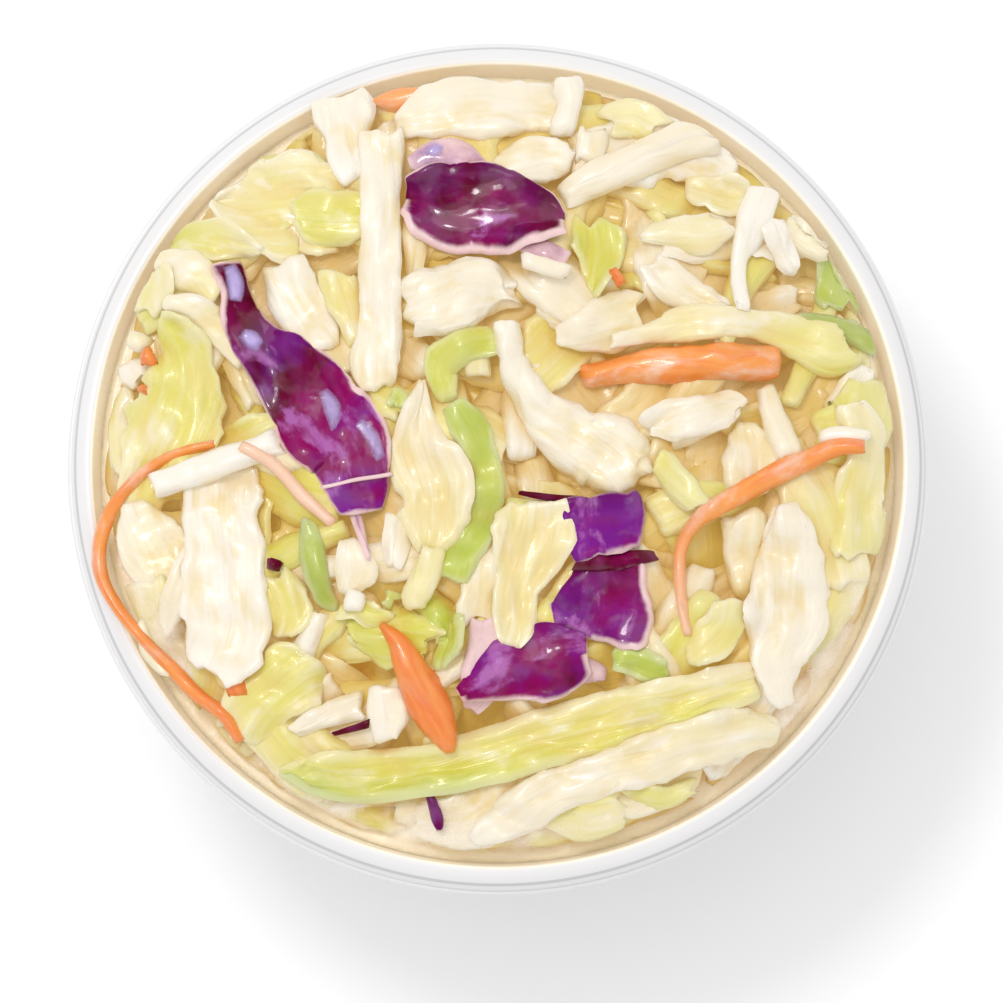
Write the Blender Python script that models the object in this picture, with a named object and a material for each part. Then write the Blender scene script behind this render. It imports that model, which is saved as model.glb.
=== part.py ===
"""A round white plastic cup heaped with coleslaw: cabbage, red cabbage and carrot in a creamy dressing.

Metres, +Z up. The origin is the middle of the ring that the cup stands on.
"""

import math

import bmesh
import bpy
import numpy as np

MM = 0.001

# The cup: a thin moulded wall, a rolled lip with a small flange, a stacking ledge and a foot ring.
CUP_HEIGHT = 52 * MM
FLANGE_RADIUS = 48.5 * MM
LIP_RADIUS = 48.1 * MM
SHOULDER_RADIUS = 46.0 * MM
MOUTH_RADIUS = 45.5 * MM
LIP_DROP = 2.4 * MM
LIP_UNDERSIDE_ANGLE = 65
WALL = 0.8 * MM
WALL_TAPER = math.radians(8)
LEDGE_DEPTH = 9.3 * MM
LEDGE_WIDTH = 1.0 * MM
LEDGE_SLOPE = 0.6 * MM
PANEL_HEIGHT = 2.3 * MM
FLOOR_FILLET = 3.0 * MM
FOOT_INNER_RADIUS = 34.6 * MM
FOOT_ROUND = 2.0 * MM
TURN_STEPS = 48
MERGE = 0.001 * MM
SHARP_ANGLE = math.radians(40)
PLASTIC_COLOUR = (0.9, 0.9, 0.9)
PLASTIC_ROUGHNESS = 0.3

# The heap: a domed core that clears the cup, and the shreds that lie on it.
GAP = 0.35 * MM
SHRED_GAP = 0.6 * MM
WALL_BAND = 2.0 * MM
DOME_RISE = 4.0 * MM
DOME_FALL = 10.5 * MM
DOME_POWER = 2.6
CORE_EDGE_RADIUS = 42.6 * MM
CORE_RINGS = 8
CORE_SIDE_DEPTHS = (5 * MM, 20 * MM)
BUMP_HEIGHT = 0.7 * MM
BUMP_LENGTH = 13 * MM
BUMP_WAVES = 6

# The shreds: how finely the bed is measured, and how the shreds settle on it.
BED_REACH = 50 * MM
BED_CELL = 0.5 * MM
REST_STEP = 1.2 * MM
REST_ROUNDS = 40
FUSE_DEPTH = 0.4 * MM
EDGE_THINNING = 0.45
LEAST_WIDTH = 0.7 * MM
SOLID_STEP = 4.8 * MM
SOLID_STEPS = (2, 10)
FEWEST_REST_STEPS = 4
LEAF_WIDTH = 4.2 * MM
WAVE_LENGTH = 14 * MM
RIM_REACH = 42.5 * MM
SHRED_TOP = 2.5 * MM

# The places below are as seen from the front and nearly above, against the plane of the flange.
SEEN_FROM = math.radians(82)
FLANGE_HEIGHT = CUP_HEIGHT - LIP_DROP

SEED = 11

# Each kind of shred: its colour and roughness, its thickness, how far its middle rises, and its waviness.
KINDS = {
    "white": dict(colour=(0.88, 0.80, 0.62), rough=0.35, thick=1.3, crown=0.8, wave=0.5),
    "leaf": dict(colour=(0.80, 0.76, 0.33), rough=0.35, thick=0.9, crown=0.7, wave=0.9),
    "red": dict(colour=(0.16, 0.005, 0.13), rough=0.3, thick=1.1, crown=0.9, wave=0.5),
    "carrot": dict(colour=(0.90, 0.30, 0.07), rough=0.35, thick=1.5, crown=0.3, wave=0.0),
}

# Shreds from the lowest to the topmost: name, kind and stations of (x, y, width) in millimetres.
SHREDS = (
    ("back_edge", "leaf", ((12, 38, 4), (15, 38.7, 5), (18.5, 37, 3.5))),
    ("back_right_bed", "leaf", ((21.5, 31, 3), (24.5, 30, 5), (27.5, 29.5, 4.5))),
    ("right_edge", "leaf", ((36, 26, 2), (37.7, 22, 3.5), (38.6, 19.2, 5), (39.3, 17, 5.2))),
    ("far_right_bed", "white", ((32, 27, 3), (35, 25, 4), (38.3, 23.5, 3))),
    ("back_left_leaf", "leaf", ((-32.5, 29.5, 2), (-29, 28.2, 7.5), (-22.3, 28.8, 11.5), (-15.8, 26.5, 6))),
    ("left_strip", "leaf", ((-38, 24.5, 2), (-34, 25, 4.5), (-29, 24, 3), (-26.4, 23.4, 1))),
    ("left_sliver", "white", ((-38.9, 22.8, 2), (-33.8, 20.4, 4.6), (-31.2, 17.9, 1.5))),
    ("left_curl", "leaf", ((-39.7, 21.9, 2), (-39, 20, 5), (-40, 15.8, 3.5))),
    ("left_wedge", "white", ((-37.2, 17.2, 1.5), (-32, 15.2, 3.6), (-28.8, 11, 1.2))),
    ("left_leaf", "leaf", ((-37.5, 15.4, 3), (-35, 8.5, 8), (-36, 4.5, 10), (-38, 0, 9), (-39, -8, 2.5))),
    ("left_low_leaf", "white", ((-40.8, -6, 3), (-39.8, -9.5, 6), (-38.5, -12.5, 7.5), (-38.5, -15.2, 5))),
    ("left_low_strip", "leaf", ((-39.5, -14.5, 5.5), (-38.8, -18, 4.5), (-38, -21.5, 2))),
    ("middle_block", "white", ((-10.4, 17.1, 6.8), (-6.5, 18.3, 8.2), (-1.5, 19.6, 7.2), (2.3, 18.7, 2.6))),
    ("white_under_red", "white",
     ((-24, 22.5, 5.2), (-22.6, 18.8, 6.2), (-20.5, 15.4, 5.9), (-19.2, 12.9, 4))),
    ("pale_strip", "leaf", ((-18.2, 21.4, 4.5), (-16.9, 17.6, 3.8), (-15.8, 14, 2.9))),
    ("right_cross_leaf", "leaf", ((17, 26, 2), (20, 26, 3.5), (23.5, 25.6, 4), (25.5, 26, 2))),
    ("right_cross_rib", "white", ((17, 22.8, 2.5), (19, 20.8, 4.5), (22.5, 18.5, 4), (26.2, 16.8, 1.2))),
    ("middle_fold", "white", ((5.8, 14.2, 1.4), (9, 15, 3.8), (12.5, 15.8, 5.5), (16.5, 17, 5.4))),
    ("green_under_stick", "leaf", ((11, 27.6, 5.6), (11.5, 24.5, 6.5), (11, 21.8, 4), (10.5, 18.8, 1.6))),
    ("right_green_tip", "leaf", ((34, 16, 1.5), (39, 14.6, 3), (42, 13, 2.5))),
    ("right_long_leaf", "white",
     ((12.1, 13.4, 1.5), (20.5, 15.6, 4), (31.5, 14.8, 3.8), (37, 12.6, 6), (40, 12.5, 3))),
    ("right_knob", "white", ((16.2, 3.8, 2), (19, 4.8, 4.4), (26.5, 6.2, 3.2), (27.8, 6, 1.6))),
    ("right_upright", "white", ((27.4, 3.9, 4.3), (28.1, 0, 6.3), (27.9, -3.6, 5.4))),
    ("right_slant", "white", ((29.8, 8.3, 1.8), (30.9, 4.6, 3), (32.5, 0.3, 2.7))),
    ("inner_slant", "leaf", ((17.4, 1.1, 2.4), (20.5, -2.8, 3.2), (23, -5.4, 2.6))),
    ("inner_strip", "white", ((27.3, -5.3, 5.6), (27.2, -10.8, 4.3), (27.3, -15.4, 1.1))),
    ("right_frill", "leaf",
     ((38.8, 6.3, 4), (40.8, 3.2, 4.5), (41, -0.8, 4), (40, -4.8, 7), (39.7, -11.7, 4.5))),
    ("low_right_curl", "leaf", ((25.5, -15.6, 4), (25, -18.5, 4.6), (22.8, -21, 4), (20.8, -22, 2))),
    ("low_olive_fold", "leaf", ((12, -22.5, 2), (14.5, -22, 4.2), (19.8, -23.5, 1.2))),
    ("centre_strip", "leaf", ((-1.2, -7.4, 2.1), (-2, -13.1, 3.4), (-2.6, -18.2, 4.5))),
    ("centre_shadow_leaf", "leaf", ((-21, -6.3, 1.7), (-20.5, -10.8, 3), (-19, -15, 2.6), (-17.6, -16, 1))),
    ("centre_left_chunk", "white", ((-16.5, -8.8, 2.8), (-16, -12.2, 4.8), (-16.6, -14.5, 3))),
    ("low_left_piece", "leaf", ((-25, -12.8, 4), (-23.8, -15.5, 6.3), (-24, -19.9, 1.5))),
    ("low_left_leaf", "leaf", ((-28.5, -31, 4), (-27, -28, 7.5), (-24.5, -25.5, 9), (-20.5, -22.5, 3))),
    ("low_strip", "white", ((-23.2, -30.7, 1.7), (-19.5, -28.7, 3), (-14.8, -26.9, 4))),
    ("low_short", "white", ((-12.6, -25, 3.3), (-12.2, -27.9, 4.4), (-12.3, -31.5, 2.5))),
    ("bottom_sliver", "red", ((-7.1, -38.1, 1.2), (-6.4, -40.1, 1.6), (-6.3, -41.5, 0.8))),
    ("bottom_frill", "leaf", ((14, -36.2, 2.4), (18, -38, 2.8), (22, -37, 2.4))),
    ("bottom_green", "leaf",
     ((-24.3, -35.3, 1), (-20.6, -35.7, 4.9), (-8, -34.9, 6.4), (6.4, -30.8, 7.2), (28.7, -25, 5.2))),
    ("low_right_leaf", "white",
     ((31.8, -5.1, 2.7), (32.1, -14.2, 8.7), (31.9, -18.8, 9.8), (30.8, -22.8, 6.5), (32, -28.2, 1.7))),
    ("bottom_spear", "white",
     ((-2.6, -42.6, 1.4), (0.6, -40.9, 4.3), (4.4, -38.2, 5.8), (15.4, -34.1, 5.6),
      (27.7, -30.8, 5.6), (31, -30.5, 3.2))),
    ("low_frilly_leaf", "leaf",
     ((-18, -18.2, 1.5), (-12, -19.4, 6.5), (-8.5, -19.9, 6.5), (-5.5, -20.5, 3.5))),
    ("low_left_cream", "white",
     ((-31.8, -2.7, 10), (-30.2, -11.4, 6.9), (-29.6, -20, 9.8), (-31.9, -25.1, 5.6))),
    ("low_left_point", "white", ((-32.2, -9.9, 3), (-35.3, -16.5, 3), (-36.4, -20.8, 1.5))),
    ("rim_flap", "leaf", ((-39.5, -17.8, 2), (-40.2, -22.3, 3.5), (-37.6, -26, 1.5))),
    ("carrot_back", "carrot", ((-13.9, 40.6, 1), (-11.8, 40.8, 2.6), (-7.8, 41.4, 1))),
    ("back_leaf", "white",
     ((-11.8, 37.9, 1.7), (-8.2, 38.8, 5.2), (-3.2, 39.8, 6.5), (3, 39.8, 6.3), (7.1, 39.3, 4))),
    ("back_knob", "white", ((7.9, 42.4, 2.4), (8, 40.5, 3), (7.4, 37, 2.2))),
    ("back_small_fold", "white", ((10.7, 37, 3.6), (10, 33.8, 3.2))),
    ("back_pale_strip", "white", ((-0.7, 32.6, 1), (1.9, 33.3, 4), (5.6, 34.2, 4.8), (8.2, 34.4, 2.8))),
    ("long_stick", "white", ((25.4, 36, 3.2), (22.8, 36.4, 4.3), (14.3, 33.3, 4.1), (7, 29.6, 3))),
    ("forked_leg", "white", ((30, 30.5, 4.5), (28.7, 27, 3.8), (26.9, 22.6, 1.7), (27.3, 17.1, 1.8))),
    ("forked_lobe", "white", ((30.7, 26.6, 3.5), (31.9, 23.8, 3.3), (33, 21.5, 2.7))),
    ("small_back_leaf", "leaf", ((-23.2, 27.9, 2.5), (-21.5, 27.8, 6), (-15.5, 27.5, 5.5), (-14, 27.2, 4))),
    ("back_red", "red",
     ((-10.5, 29.9, 7.3), (-7.1, 30.3, 11), (-3.4, 29.5, 11.5), (0.9, 27.6, 9), (7.7, 24.7, 5.3))),
    ("rim_fold", "white",
     ((-18, 43.4, 4), (-17.5, 40.5, 8.5), (-17.5, 37, 7.5), (-18.2, 33, 5), (-18.5, 30.8, 3))),
    ("long_ribbon", "white",
     ((-13.1, 37.2, 6), (-13.1, 32.4, 4.3), (-13.1, 18.8, 4.8), (-13.9, 11.1, 6.8), (-13.2, 8.2, 1.6))),
    ("curled_green", "leaf", ((-0.8, 13.8, 4), (-4, 12.8, 4.6), (-6.3, 10.8, 4.2), (-6, 8.2, 2.5))),
    ("green_band", "leaf",
     ((-5, 7.1, 3.6), (-2.8, 2.8, 4.2), (-1.2, -1.5, 3.4), (-4, -10.6, 4), (-4.8, -13.7, 3.4))),
    ("curved_rib", "white",
     ((0.5, 16.2, 2.3), (1.5, 11.4, 2.5), (4.2, 6.6, 4.5), (8.3, 3.2, 7.5), (12.6, 0.6, 8.5),
      (15.5, -2.6, 5))),
    ("low_red", "red",
     ((10.9, -3.9, 9.1), (12.2, -6.8, 7.8), (12, -12, 10), (11, -16.5, 12.5), (6.5, -21.5, 9),
      (-4.1, -26.4, 1.6))),
    ("low_red_cover", "leaf", ((4.5, -4.4, 4.2), (4.4, -6.5, 8.5), (3.8, -10.8, 8), (1.9, -19.6, 4.2))),
    ("carrot_arc", "carrot",
     ((-31.8, 2, 1.2), (-38.7, -0.7, 1.6), (-43, -6.5, 1.8), (-43.2, -13.7, 1.8), (-39, -20.8, 1.7),
      (-28.7, -31.9, 1.2))),
    ("white_stick", "white", ((-38.5, -2.7, 2.7), (-33.6, -0.9, 3.4), (-28.8, 0.9, 2.8), (-24.3, 2.2, 4))),
    ("pink_strip", "carrot", ((-28.5, 1.5, 1.4), (-21.7, -3.8, 1.6), (-18.4, -6.7, 1.3))),
    ("spear_leaf", "white",
     ((-8.5, 9, 0.8), (-8.8, 5.1, 4), (-7, -2.8, 8.8), (-7.1, -7.4, 6.8), (-7.4, -9.9, 2.8))),
    ("spear_tongue", "white", ((-7, -9.3, 2.5), (-7.8, -13.1, 3.2), (-8.9, -16.9, 1.4))),
    ("left_red", "red",
     ((-30.5, 22, 3.6), (-29.5, 18.8, 3.2), (-27, 13.7, 6), (-19.1, 4.4, 10.9), (-15.7, -1.9, 8.1),
      (-15, -10.3, 0.8))),
    ("thick_carrot", "carrot", ((9.6, 10.2, 2.9), (14.9, 10.9, 3.3), (22.8, 11.3, 4.4), (31.4, 11.1, 4.5))),
    ("curved_carrot", "carrot",
     ((41.1, 0.9, 1.5), (34, -0.6, 2.5), (25, -4.6, 2.3), (20.5, -9.1, 1.5), (21.1, -19.9, 1))),
    ("carrot_wedge", "carrot",
     ((-13.2, -17.8, 0.8), (-9.8, -23, 3.8), (-8.1, -26.4, 5), (-6.4, -29.8, 3.8), (-5.1, -33.3, 1))),
)
FILLERS = 16
FILLER_REACH = 40
FILLER_LENGTH = (11, 19)
FILLER_WIDTH = (2.4, 4.6)
FILLER_BEND = 2.5
OVER_RIM = ("rim_fold", "rim_flap")
THICKNESS = {"thick_carrot": 2.6, "carrot_wedge": 2.0, "pink_strip": 0.9, "curved_rib": 2.0, "back_knob": 2.2}


def filler_shreds(draw):
    """Plain shreds in all directions, spread evenly under the others."""
    golden_turn = math.pi * (3 - math.sqrt(5))
    for index in range(FILLERS):
        reach = FILLER_REACH * math.sqrt((index + 0.5) / FILLERS)
        middle = np.array([reach * math.cos(index * golden_turn), reach * math.sin(index * golden_turn)])
        heading = draw.uniform(0, math.pi)
        along = np.array([math.cos(heading), math.sin(heading)]) * draw.uniform(*FILLER_LENGTH) / 2
        bend = np.array([-math.sin(heading), math.cos(heading)]) * draw.uniform(-FILLER_BEND, FILLER_BEND)
        width = draw.uniform(*FILLER_WIDTH)
        stations = (*(middle - along), width), (*(middle + bend), width), (*(middle + along), width / 2)
        yield f"filler_{index}", draw.choice(["white", "leaf"]), stations


def clear_scene():
    for found in list(bpy.data.objects):
        bpy.data.objects.remove(found, do_unlink=True)


def make_material(name, colour, rough):
    material = bpy.data.materials.new(name)
    material.use_nodes = True
    shader = material.node_tree.nodes["Principled BSDF"]
    shader.inputs["Base Color"].default_value = (*colour, 1)
    shader.inputs["Roughness"].default_value = rough
    shader.inputs["Metallic"].default_value = 0
    return material


def make_object(name, bm, *materials):
    """An object in the scene from a bmesh, which is freed."""
    mesh = bpy.data.meshes.new(name)
    bm.to_mesh(mesh)
    bm.free()
    for material in materials:
        mesh.materials.append(material)
    made = bpy.data.objects.new(name, mesh)
    bpy.context.scene.collection.objects.link(made)
    return made


def arc(centre, radii, start, end, steps):
    """Points along part of an ellipse, with its angles in degrees."""
    angles = np.radians(np.linspace(start, end, steps + 1))
    return [(centre[0] + radii[0] * math.cos(a), centre[1] + radii[1] * math.sin(a)) for a in angles]


def inner_radius(height):
    """The radius of the cup's inner wall at a height, as a number or an array."""
    depth = CUP_HEIGHT - np.minimum(height, CUP_HEIGHT)
    past_ledge = np.clip((depth - LEDGE_DEPTH) / LEDGE_SLOPE, 0, 1)
    return MOUTH_RADIUS - depth * math.tan(WALL_TAPER) - LEDGE_WIDTH * past_ledge


def upper_section():
    """The side of the cup that faces up and in, from the flange's edge to the middle of the floor."""
    crease = CUP_HEIGHT - LIP_DROP
    corner = SHOULDER_RADIUS - MOUTH_RADIUS
    floor = PANEL_HEIGHT + WALL
    points = [(FLANGE_RADIUS, crease - WALL), (FLANGE_RADIUS, crease)]
    points += arc((SHOULDER_RADIUS, crease), (LIP_RADIUS - SHOULDER_RADIUS, LIP_DROP), 0, 90, 6)
    points += arc((SHOULDER_RADIUS, CUP_HEIGHT - corner), (corner, corner), 90, 180, 2)[1:]
    for depth in (LEDGE_DEPTH, LEDGE_DEPTH + LEDGE_SLOPE):
        points.append((inner_radius(CUP_HEIGHT - depth), CUP_HEIGHT - depth))
    fillet = inner_radius(floor + FLOOR_FILLET) - FLOOR_FILLET
    points += arc((fillet, floor + FLOOR_FILLET), (FLOOR_FILLET, FLOOR_FILLET), 0, -90, 3)
    points.append((0, floor))
    return points


def lower_section():
    """The side of the cup that faces down and out, from the middle of its base to under the lip."""
    crease = CUP_HEIGHT - LIP_DROP
    foot_outer = inner_radius(FOOT_ROUND) + WALL - FOOT_ROUND
    points = [(0, PANEL_HEIGHT), (FOOT_INNER_RADIUS - WALL / 2, PANEL_HEIGHT), (FOOT_INNER_RADIUS, 0)]
    points += arc((foot_outer, FOOT_ROUND), (FOOT_ROUND, FOOT_ROUND), -90, 0, 3)
    for depth in (LEDGE_DEPTH + LEDGE_SLOPE, LEDGE_DEPTH):
        points.append((inner_radius(CUP_HEIGHT - depth) + WALL, CUP_HEIGHT - depth))
    roll = (LIP_RADIUS - SHOULDER_RADIUS - WALL, LIP_DROP - WALL)
    points.append((MOUTH_RADIUS + WALL, CUP_HEIGHT - 2 * WALL))
    points += arc((SHOULDER_RADIUS, crease), roll, LIP_UNDERSIDE_ANGLE, 0, 3)
    points.append((SHOULDER_RADIUS + roll[0], crease - WALL))
    return points


def turned(section):
    """A closed solid turned about Z from a closed section of (radius, height)."""
    bm = bmesh.new()
    verts = [bm.verts.new((radius, 0, height)) for radius, height in section]
    edges = [bm.edges.new(pair) for pair in zip(verts, verts[1:] + verts[:1]) if pair[0].co.x or pair[1].co.x]
    bmesh.ops.spin(
        bm, geom=verts + edges, axis=(0, 0, 1), cent=(0, 0, 0),
        angle=2 * math.pi, steps=TURN_STEPS, use_merge=True,
    )
    bmesh.ops.remove_doubles(bm, verts=bm.verts[:], dist=MERGE)
    bmesh.ops.dissolve_degenerate(bm, edges=bm.edges[:], dist=MERGE)
    bmesh.ops.recalc_face_normals(bm, faces=bm.faces[:])
    return bm


def make_cup():
    plastic = make_material("plastic", PLASTIC_COLOUR, PLASTIC_ROUGHNESS)
    cup = make_object("cup", turned(upper_section() + lower_section()), plastic)
    cup.data.shade_smooth()
    cup.data.set_sharp_from_angle(angle=SHARP_ANGLE)
    return cup


def bumps(x, y):
    """Low bumps about as long as a shred, from a few seeded waves."""
    draw = np.random.default_rng(SEED)
    height = 0 * x
    for _ in range(BUMP_WAVES):
        turn, phase = draw.uniform(0, 2 * math.pi, 2)
        length = BUMP_LENGTH * draw.uniform(0.8, 1.5)
        height = height + np.sin(2 * math.pi * (x * math.cos(turn) + y * math.sin(turn)) / length + phase)
    return height * BUMP_HEIGHT / math.sqrt(BUMP_WAVES)


def core_height(x, y):
    """The top of the core: a dome that falls away to the wall, with bumps."""
    radius = np.hypot(x, y) / CORE_EDGE_RADIUS
    return CUP_HEIGHT + DOME_RISE - DOME_FALL * radius**DOME_POWER + bumps(x, y)


def make_core(materials):
    """The packed middle of the heap, which fills the cup below the shreads that show."""
    floor = PANEL_HEIGHT + WALL + GAP
    edge = CUP_HEIGHT + DOME_RISE - DOME_FALL
    section = [(CORE_EDGE_RADIUS * step / CORE_RINGS, edge + GAP) for step in range(CORE_RINGS + 1)]
    for height in (*(edge - depth for depth in CORE_SIDE_DEPTHS), floor + FLOOR_FILLET):
        section.append((inner_radius(height) - GAP, height))
    section.append((inner_radius(floor) - FLOOR_FILLET - GAP, floor))
    section.append((0, floor))
    bm = turned(section)
    for vert in bm.verts:
        if vert.co.z > edge:
            vert.co.z = core_height(vert.co.x, vert.co.y)
    bmesh.ops.triangulate(bm, faces=bm.faces[:])
    return make_object("coleslaw", bm, *materials)


class Bed:
    """The height of what lies in the cup, measured on a square grid as the shreds are laid."""

    def __init__(self):
        cells = np.arange(-BED_REACH, BED_REACH + BED_CELL, BED_CELL)
        x, y = np.meshgrid(cells, cells, indexing="ij")
        self.heights = core_height(x, y)

    def cells(self, x, y):
        last = len(self.heights) - 1
        column = np.clip(np.rint((x + BED_REACH) / BED_CELL).astype(int), 0, last)
        row = np.clip(np.rint((y + BED_REACH) / BED_CELL).astype(int), 0, last)
        return column, row

    def under(self, x, y):
        return self.heights[self.cells(x, y)]

    def cover(self, x, y, top):
        np.maximum.at(self.heights, self.cells(x, y), top)


def route(stations, count):
    """A smooth route through stations of (x, y, width) in metres, read at even steps."""
    knots = np.array(stations, float)
    spans = np.hypot(*np.diff(knots[:, :2], axis=0).T)
    reached = np.concatenate([[0], np.cumsum(spans)])
    slopes = np.gradient(knots, reached, axis=0)
    wanted = np.linspace(0, reached[-1], count + 1)
    first = np.clip(np.searchsorted(reached, wanted) - 1, 0, len(spans) - 1)
    span = spans[first][:, None]
    t = (wanted - reached[first])[:, None] / span
    start = (1 + 2 * t) * (1 - t) ** 2 * knots[first] + t * (1 - t) ** 2 * span * slopes[first]
    end = t**2 * (3 - 2 * t) * knots[first + 1] - t**2 * (1 - t) * span * slopes[first + 1]
    return start + end


def lattice(stations, along, across):
    """The places of a shred's grid, as seen: arrays of x and y, with a row for each step along it."""
    line = route(stations, along)
    ahead = np.gradient(line[:, :2], axis=0)
    ahead /= np.hypot(*ahead.T)[:, None]
    half = np.maximum(line[:, 2], LEAST_WIDTH) / 2
    offset = np.linspace(-1, 1, across + 1)
    x = line[:, :1] - (ahead[:, 1] * half)[:, None] * offset
    y = line[:, 1:2] + (ahead[:, 0] * half)[:, None] * offset
    return x, y


def relaxed(low):
    """A sheet laid on heights: it bridges hollows and never goes below them."""
    height = low.copy()
    for _ in range(REST_ROUNDS):
        padded = np.pad(height, 1, mode="edge")
        beside = padded[:-2, 1:-1] + padded[2:, 1:-1] + padded[1:-1, :-2] + padded[1:-1, 2:]
        height = np.maximum(beside / 4, low)
    return height


def rim_height(x, y):
    """The height that a shred clears where it laps over the rim."""
    return np.where(np.hypot(x, y) > RIM_REACH, CUP_HEIGHT + GAP, 0)


def even_steps(shape, along, across):
    """Rows and columns of a fine grid that a coarser grid takes."""
    rows = np.rint(np.linspace(0, shape[0] - 1, along + 1)).astype(int)
    columns = np.rint(np.linspace(0, shape[1] - 1, across + 1)).astype(int)
    return np.ix_(rows, columns)


def inside_wall(x, y, height):
    """Presses the outermost places together, so that they stay clear of the wall in their order."""
    radius = np.hypot(x, y)
    free = inner_radius(height) - SHRED_GAP - WALL_BAND
    past = np.maximum(radius - free, 0) / WALL_BAND
    kept = np.minimum(radius, free) + WALL_BAND * (1 - np.exp(-past))
    return x * kept / radius, y * kept / radius


def lay(bed, name, kind, stations, draw):
    """Lays one shred on the bed, and gives its middle surface on a fine grid and its thickness there."""
    look = KINDS[kind]
    stations = np.array(stations, float) * MM
    length = np.hypot(*np.diff(stations[:, :2], axis=0).T).sum()
    along = max(FEWEST_REST_STEPS, round(length / REST_STEP))
    across = max(FEWEST_REST_STEPS, 2 * round(stations[:, 2].max() / REST_STEP / 2))
    x, y = lattice(stations, along, across)
    height = core_height(x, y) + SHRED_TOP
    y = y - (height - FLANGE_HEIGHT) / math.tan(SEEN_FROM)
    if name not in OVER_RIM:
        x, y = inside_wall(x, y, height)
    offset = np.linspace(-1, 1, across + 1)
    thick = THICKNESS.get(name, look["thick"]) * MM * (1 - EDGE_THINNING * offset**2) + 0 * x
    low = bed.under(x, y)
    if name in OVER_RIM:
        low = np.maximum(low, rim_height(x, y) + FUSE_DEPTH)
    height = relaxed(low + thick / 2)
    reach = np.linspace(0, length, along + 1)[:, None]
    phase = draw.uniform(0, 2 * math.pi)
    wave = look["wave"] * MM * np.abs(offset) * np.sin(2 * math.pi * reach / WAVE_LENGTH + phase + 2 * offset)
    height = height + look["crown"] * MM * (1 - offset**2) + wave
    bed.cover(x, y, height + thick / 2)
    return x, y, height, thick, length


def blank(along, across):
    """A closed sheet with x and y from 0 to 1 over its grid, z 0 on its lower face and 1 on its upper one."""
    bm = bmesh.new()
    bmesh.ops.create_grid(bm, x_segments=along, y_segments=across, size=0.5)
    bmesh.ops.translate(bm, verts=bm.verts[:], vec=(0.5, 0.5, 0))
    bmesh.ops.triangulate(bm, faces=bm.faces[:], quad_method="FIXED")
    lower = bm.faces[:]
    upper = bmesh.ops.duplicate(bm, geom=lower)
    raised = [item for item in upper["geom"] if isinstance(item, bmesh.types.BMVert)]
    bmesh.ops.translate(bm, verts=raised, vec=(0, 0, 1))
    bmesh.ops.bridge_loops(bm, edges=[edge for edge in bm.edges if edge.is_boundary])
    bmesh.ops.triangulate(bm, faces=[face for face in bm.faces if len(face.verts) > 3])
    bmesh.ops.recalc_face_normals(bm, faces=bm.faces[:])
    return bm


def clear_of_cup(x, y, z, over_rim):
    """Draws a point in from the wall, unless it lies over the rim."""
    radius = math.hypot(x, y)
    limit = float(inner_radius(z)) - GAP
    if radius <= limit or (over_rim and z > CUP_HEIGHT + GAP):
        return x, y, z
    return x * limit / radius, y * limit / radius, z


def make_shred(name, kind, laid):
    """The closed solid of a shred that has been laid, a little deeper than it lies so that it fuses."""
    x, y, height, thick, length = laid
    width = np.hypot(x[:, 0] - x[:, -1], y[:, 0] - y[:, -1]).max()
    along = int(np.clip(round(length / SOLID_STEP), *SOLID_STEPS))
    across = 2 if width > LEAF_WIDTH else 1
    taken = even_steps(x.shape, along, across)
    x, y, height, thick = x[taken], y[taken], height[taken], thick[taken]
    bm = blank(along, across)
    for vert in bm.verts:
        place = round(vert.co.x * along), round(vert.co.y * across)
        if vert.co.z > 0.5:
            z = height[place] + thick[place] / 2
        else:
            z = height[place] - thick[place] / 2 - FUSE_DEPTH
        vert.co = clear_of_cup(x[place], y[place], z, name in OVER_RIM)
    for face in bm.faces:
        face.material_index = list(KINDS).index(kind)
    bmesh.ops.recalc_face_normals(bm, faces=bm.faces[:])
    return bm


def fuse(target, collection):
    """Joins the collection's solids to the target, and removes them."""
    joint = target.modifiers.new("fused", "BOOLEAN")
    joint.operation = "UNION"
    joint.operand_type = "COLLECTION"
    joint.collection = collection
    graph = bpy.context.evaluated_depsgraph_get()
    fused = bpy.data.meshes.new_from_object(target.evaluated_get(graph))
    target.modifiers.clear()
    target.data = fused
    for piece in list(collection.objects):
        bpy.data.objects.remove(piece, do_unlink=True)
    bpy.data.collections.remove(collection)


def bodies_of(bm):
    """The separate bodies of a bmesh, each as a list of faces that share whole edges."""
    waiting = set(bm.faces)
    bodies = []
    while waiting:
        body = [waiting.pop()]
        for face in body:
            whole = [edge for edge in face.edges if len(edge.link_faces) == 2]
            near = {other for edge in whole for other in edge.link_faces} & waiting
            waiting -= near
            body.extend(near)
        bodies.append(body)
    return bodies


def keep_largest_body(target):
    """Fills the hollows that fusing has sealed, and drops loose scraps."""
    bm = bmesh.new()
    bm.from_mesh(target.data)
    bmesh.ops.remove_doubles(bm, verts=bm.verts[:], dist=2 * MERGE)
    bmesh.ops.dissolve_degenerate(bm, edges=bm.edges[:], dist=2 * MERGE)
    bmesh.ops.triangulate(bm, faces=bm.faces[:])
    bodies = sorted(bodies_of(bm), key=len)
    for body in bodies[:-1]:
        bmesh.ops.delete(bm, geom=body, context="FACES")
    bm.to_mesh(target.data)
    bm.free()
    target.data.update()


def make_coleslaw():
    materials = [make_material(kind, look["colour"], look["rough"]) for kind, look in KINDS.items()]
    heap = make_core(materials)
    pieces = bpy.data.collections.new("shreds")
    bpy.context.scene.collection.children.link(pieces)
    bed = Bed()
    draw = np.random.default_rng(SEED)
    for name, kind, stations in (*filler_shreds(draw), *SHREDS):
        laid = lay(bed, name, kind, stations, draw)
        piece = make_object(name, make_shred(name, kind, laid), *materials)
        bpy.context.scene.collection.objects.unlink(piece)
        pieces.objects.link(piece)
    fuse(heap, pieces)
    keep_largest_body(heap)
    return heap


clear_scene()
make_cup()
make_coleslaw()
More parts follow.
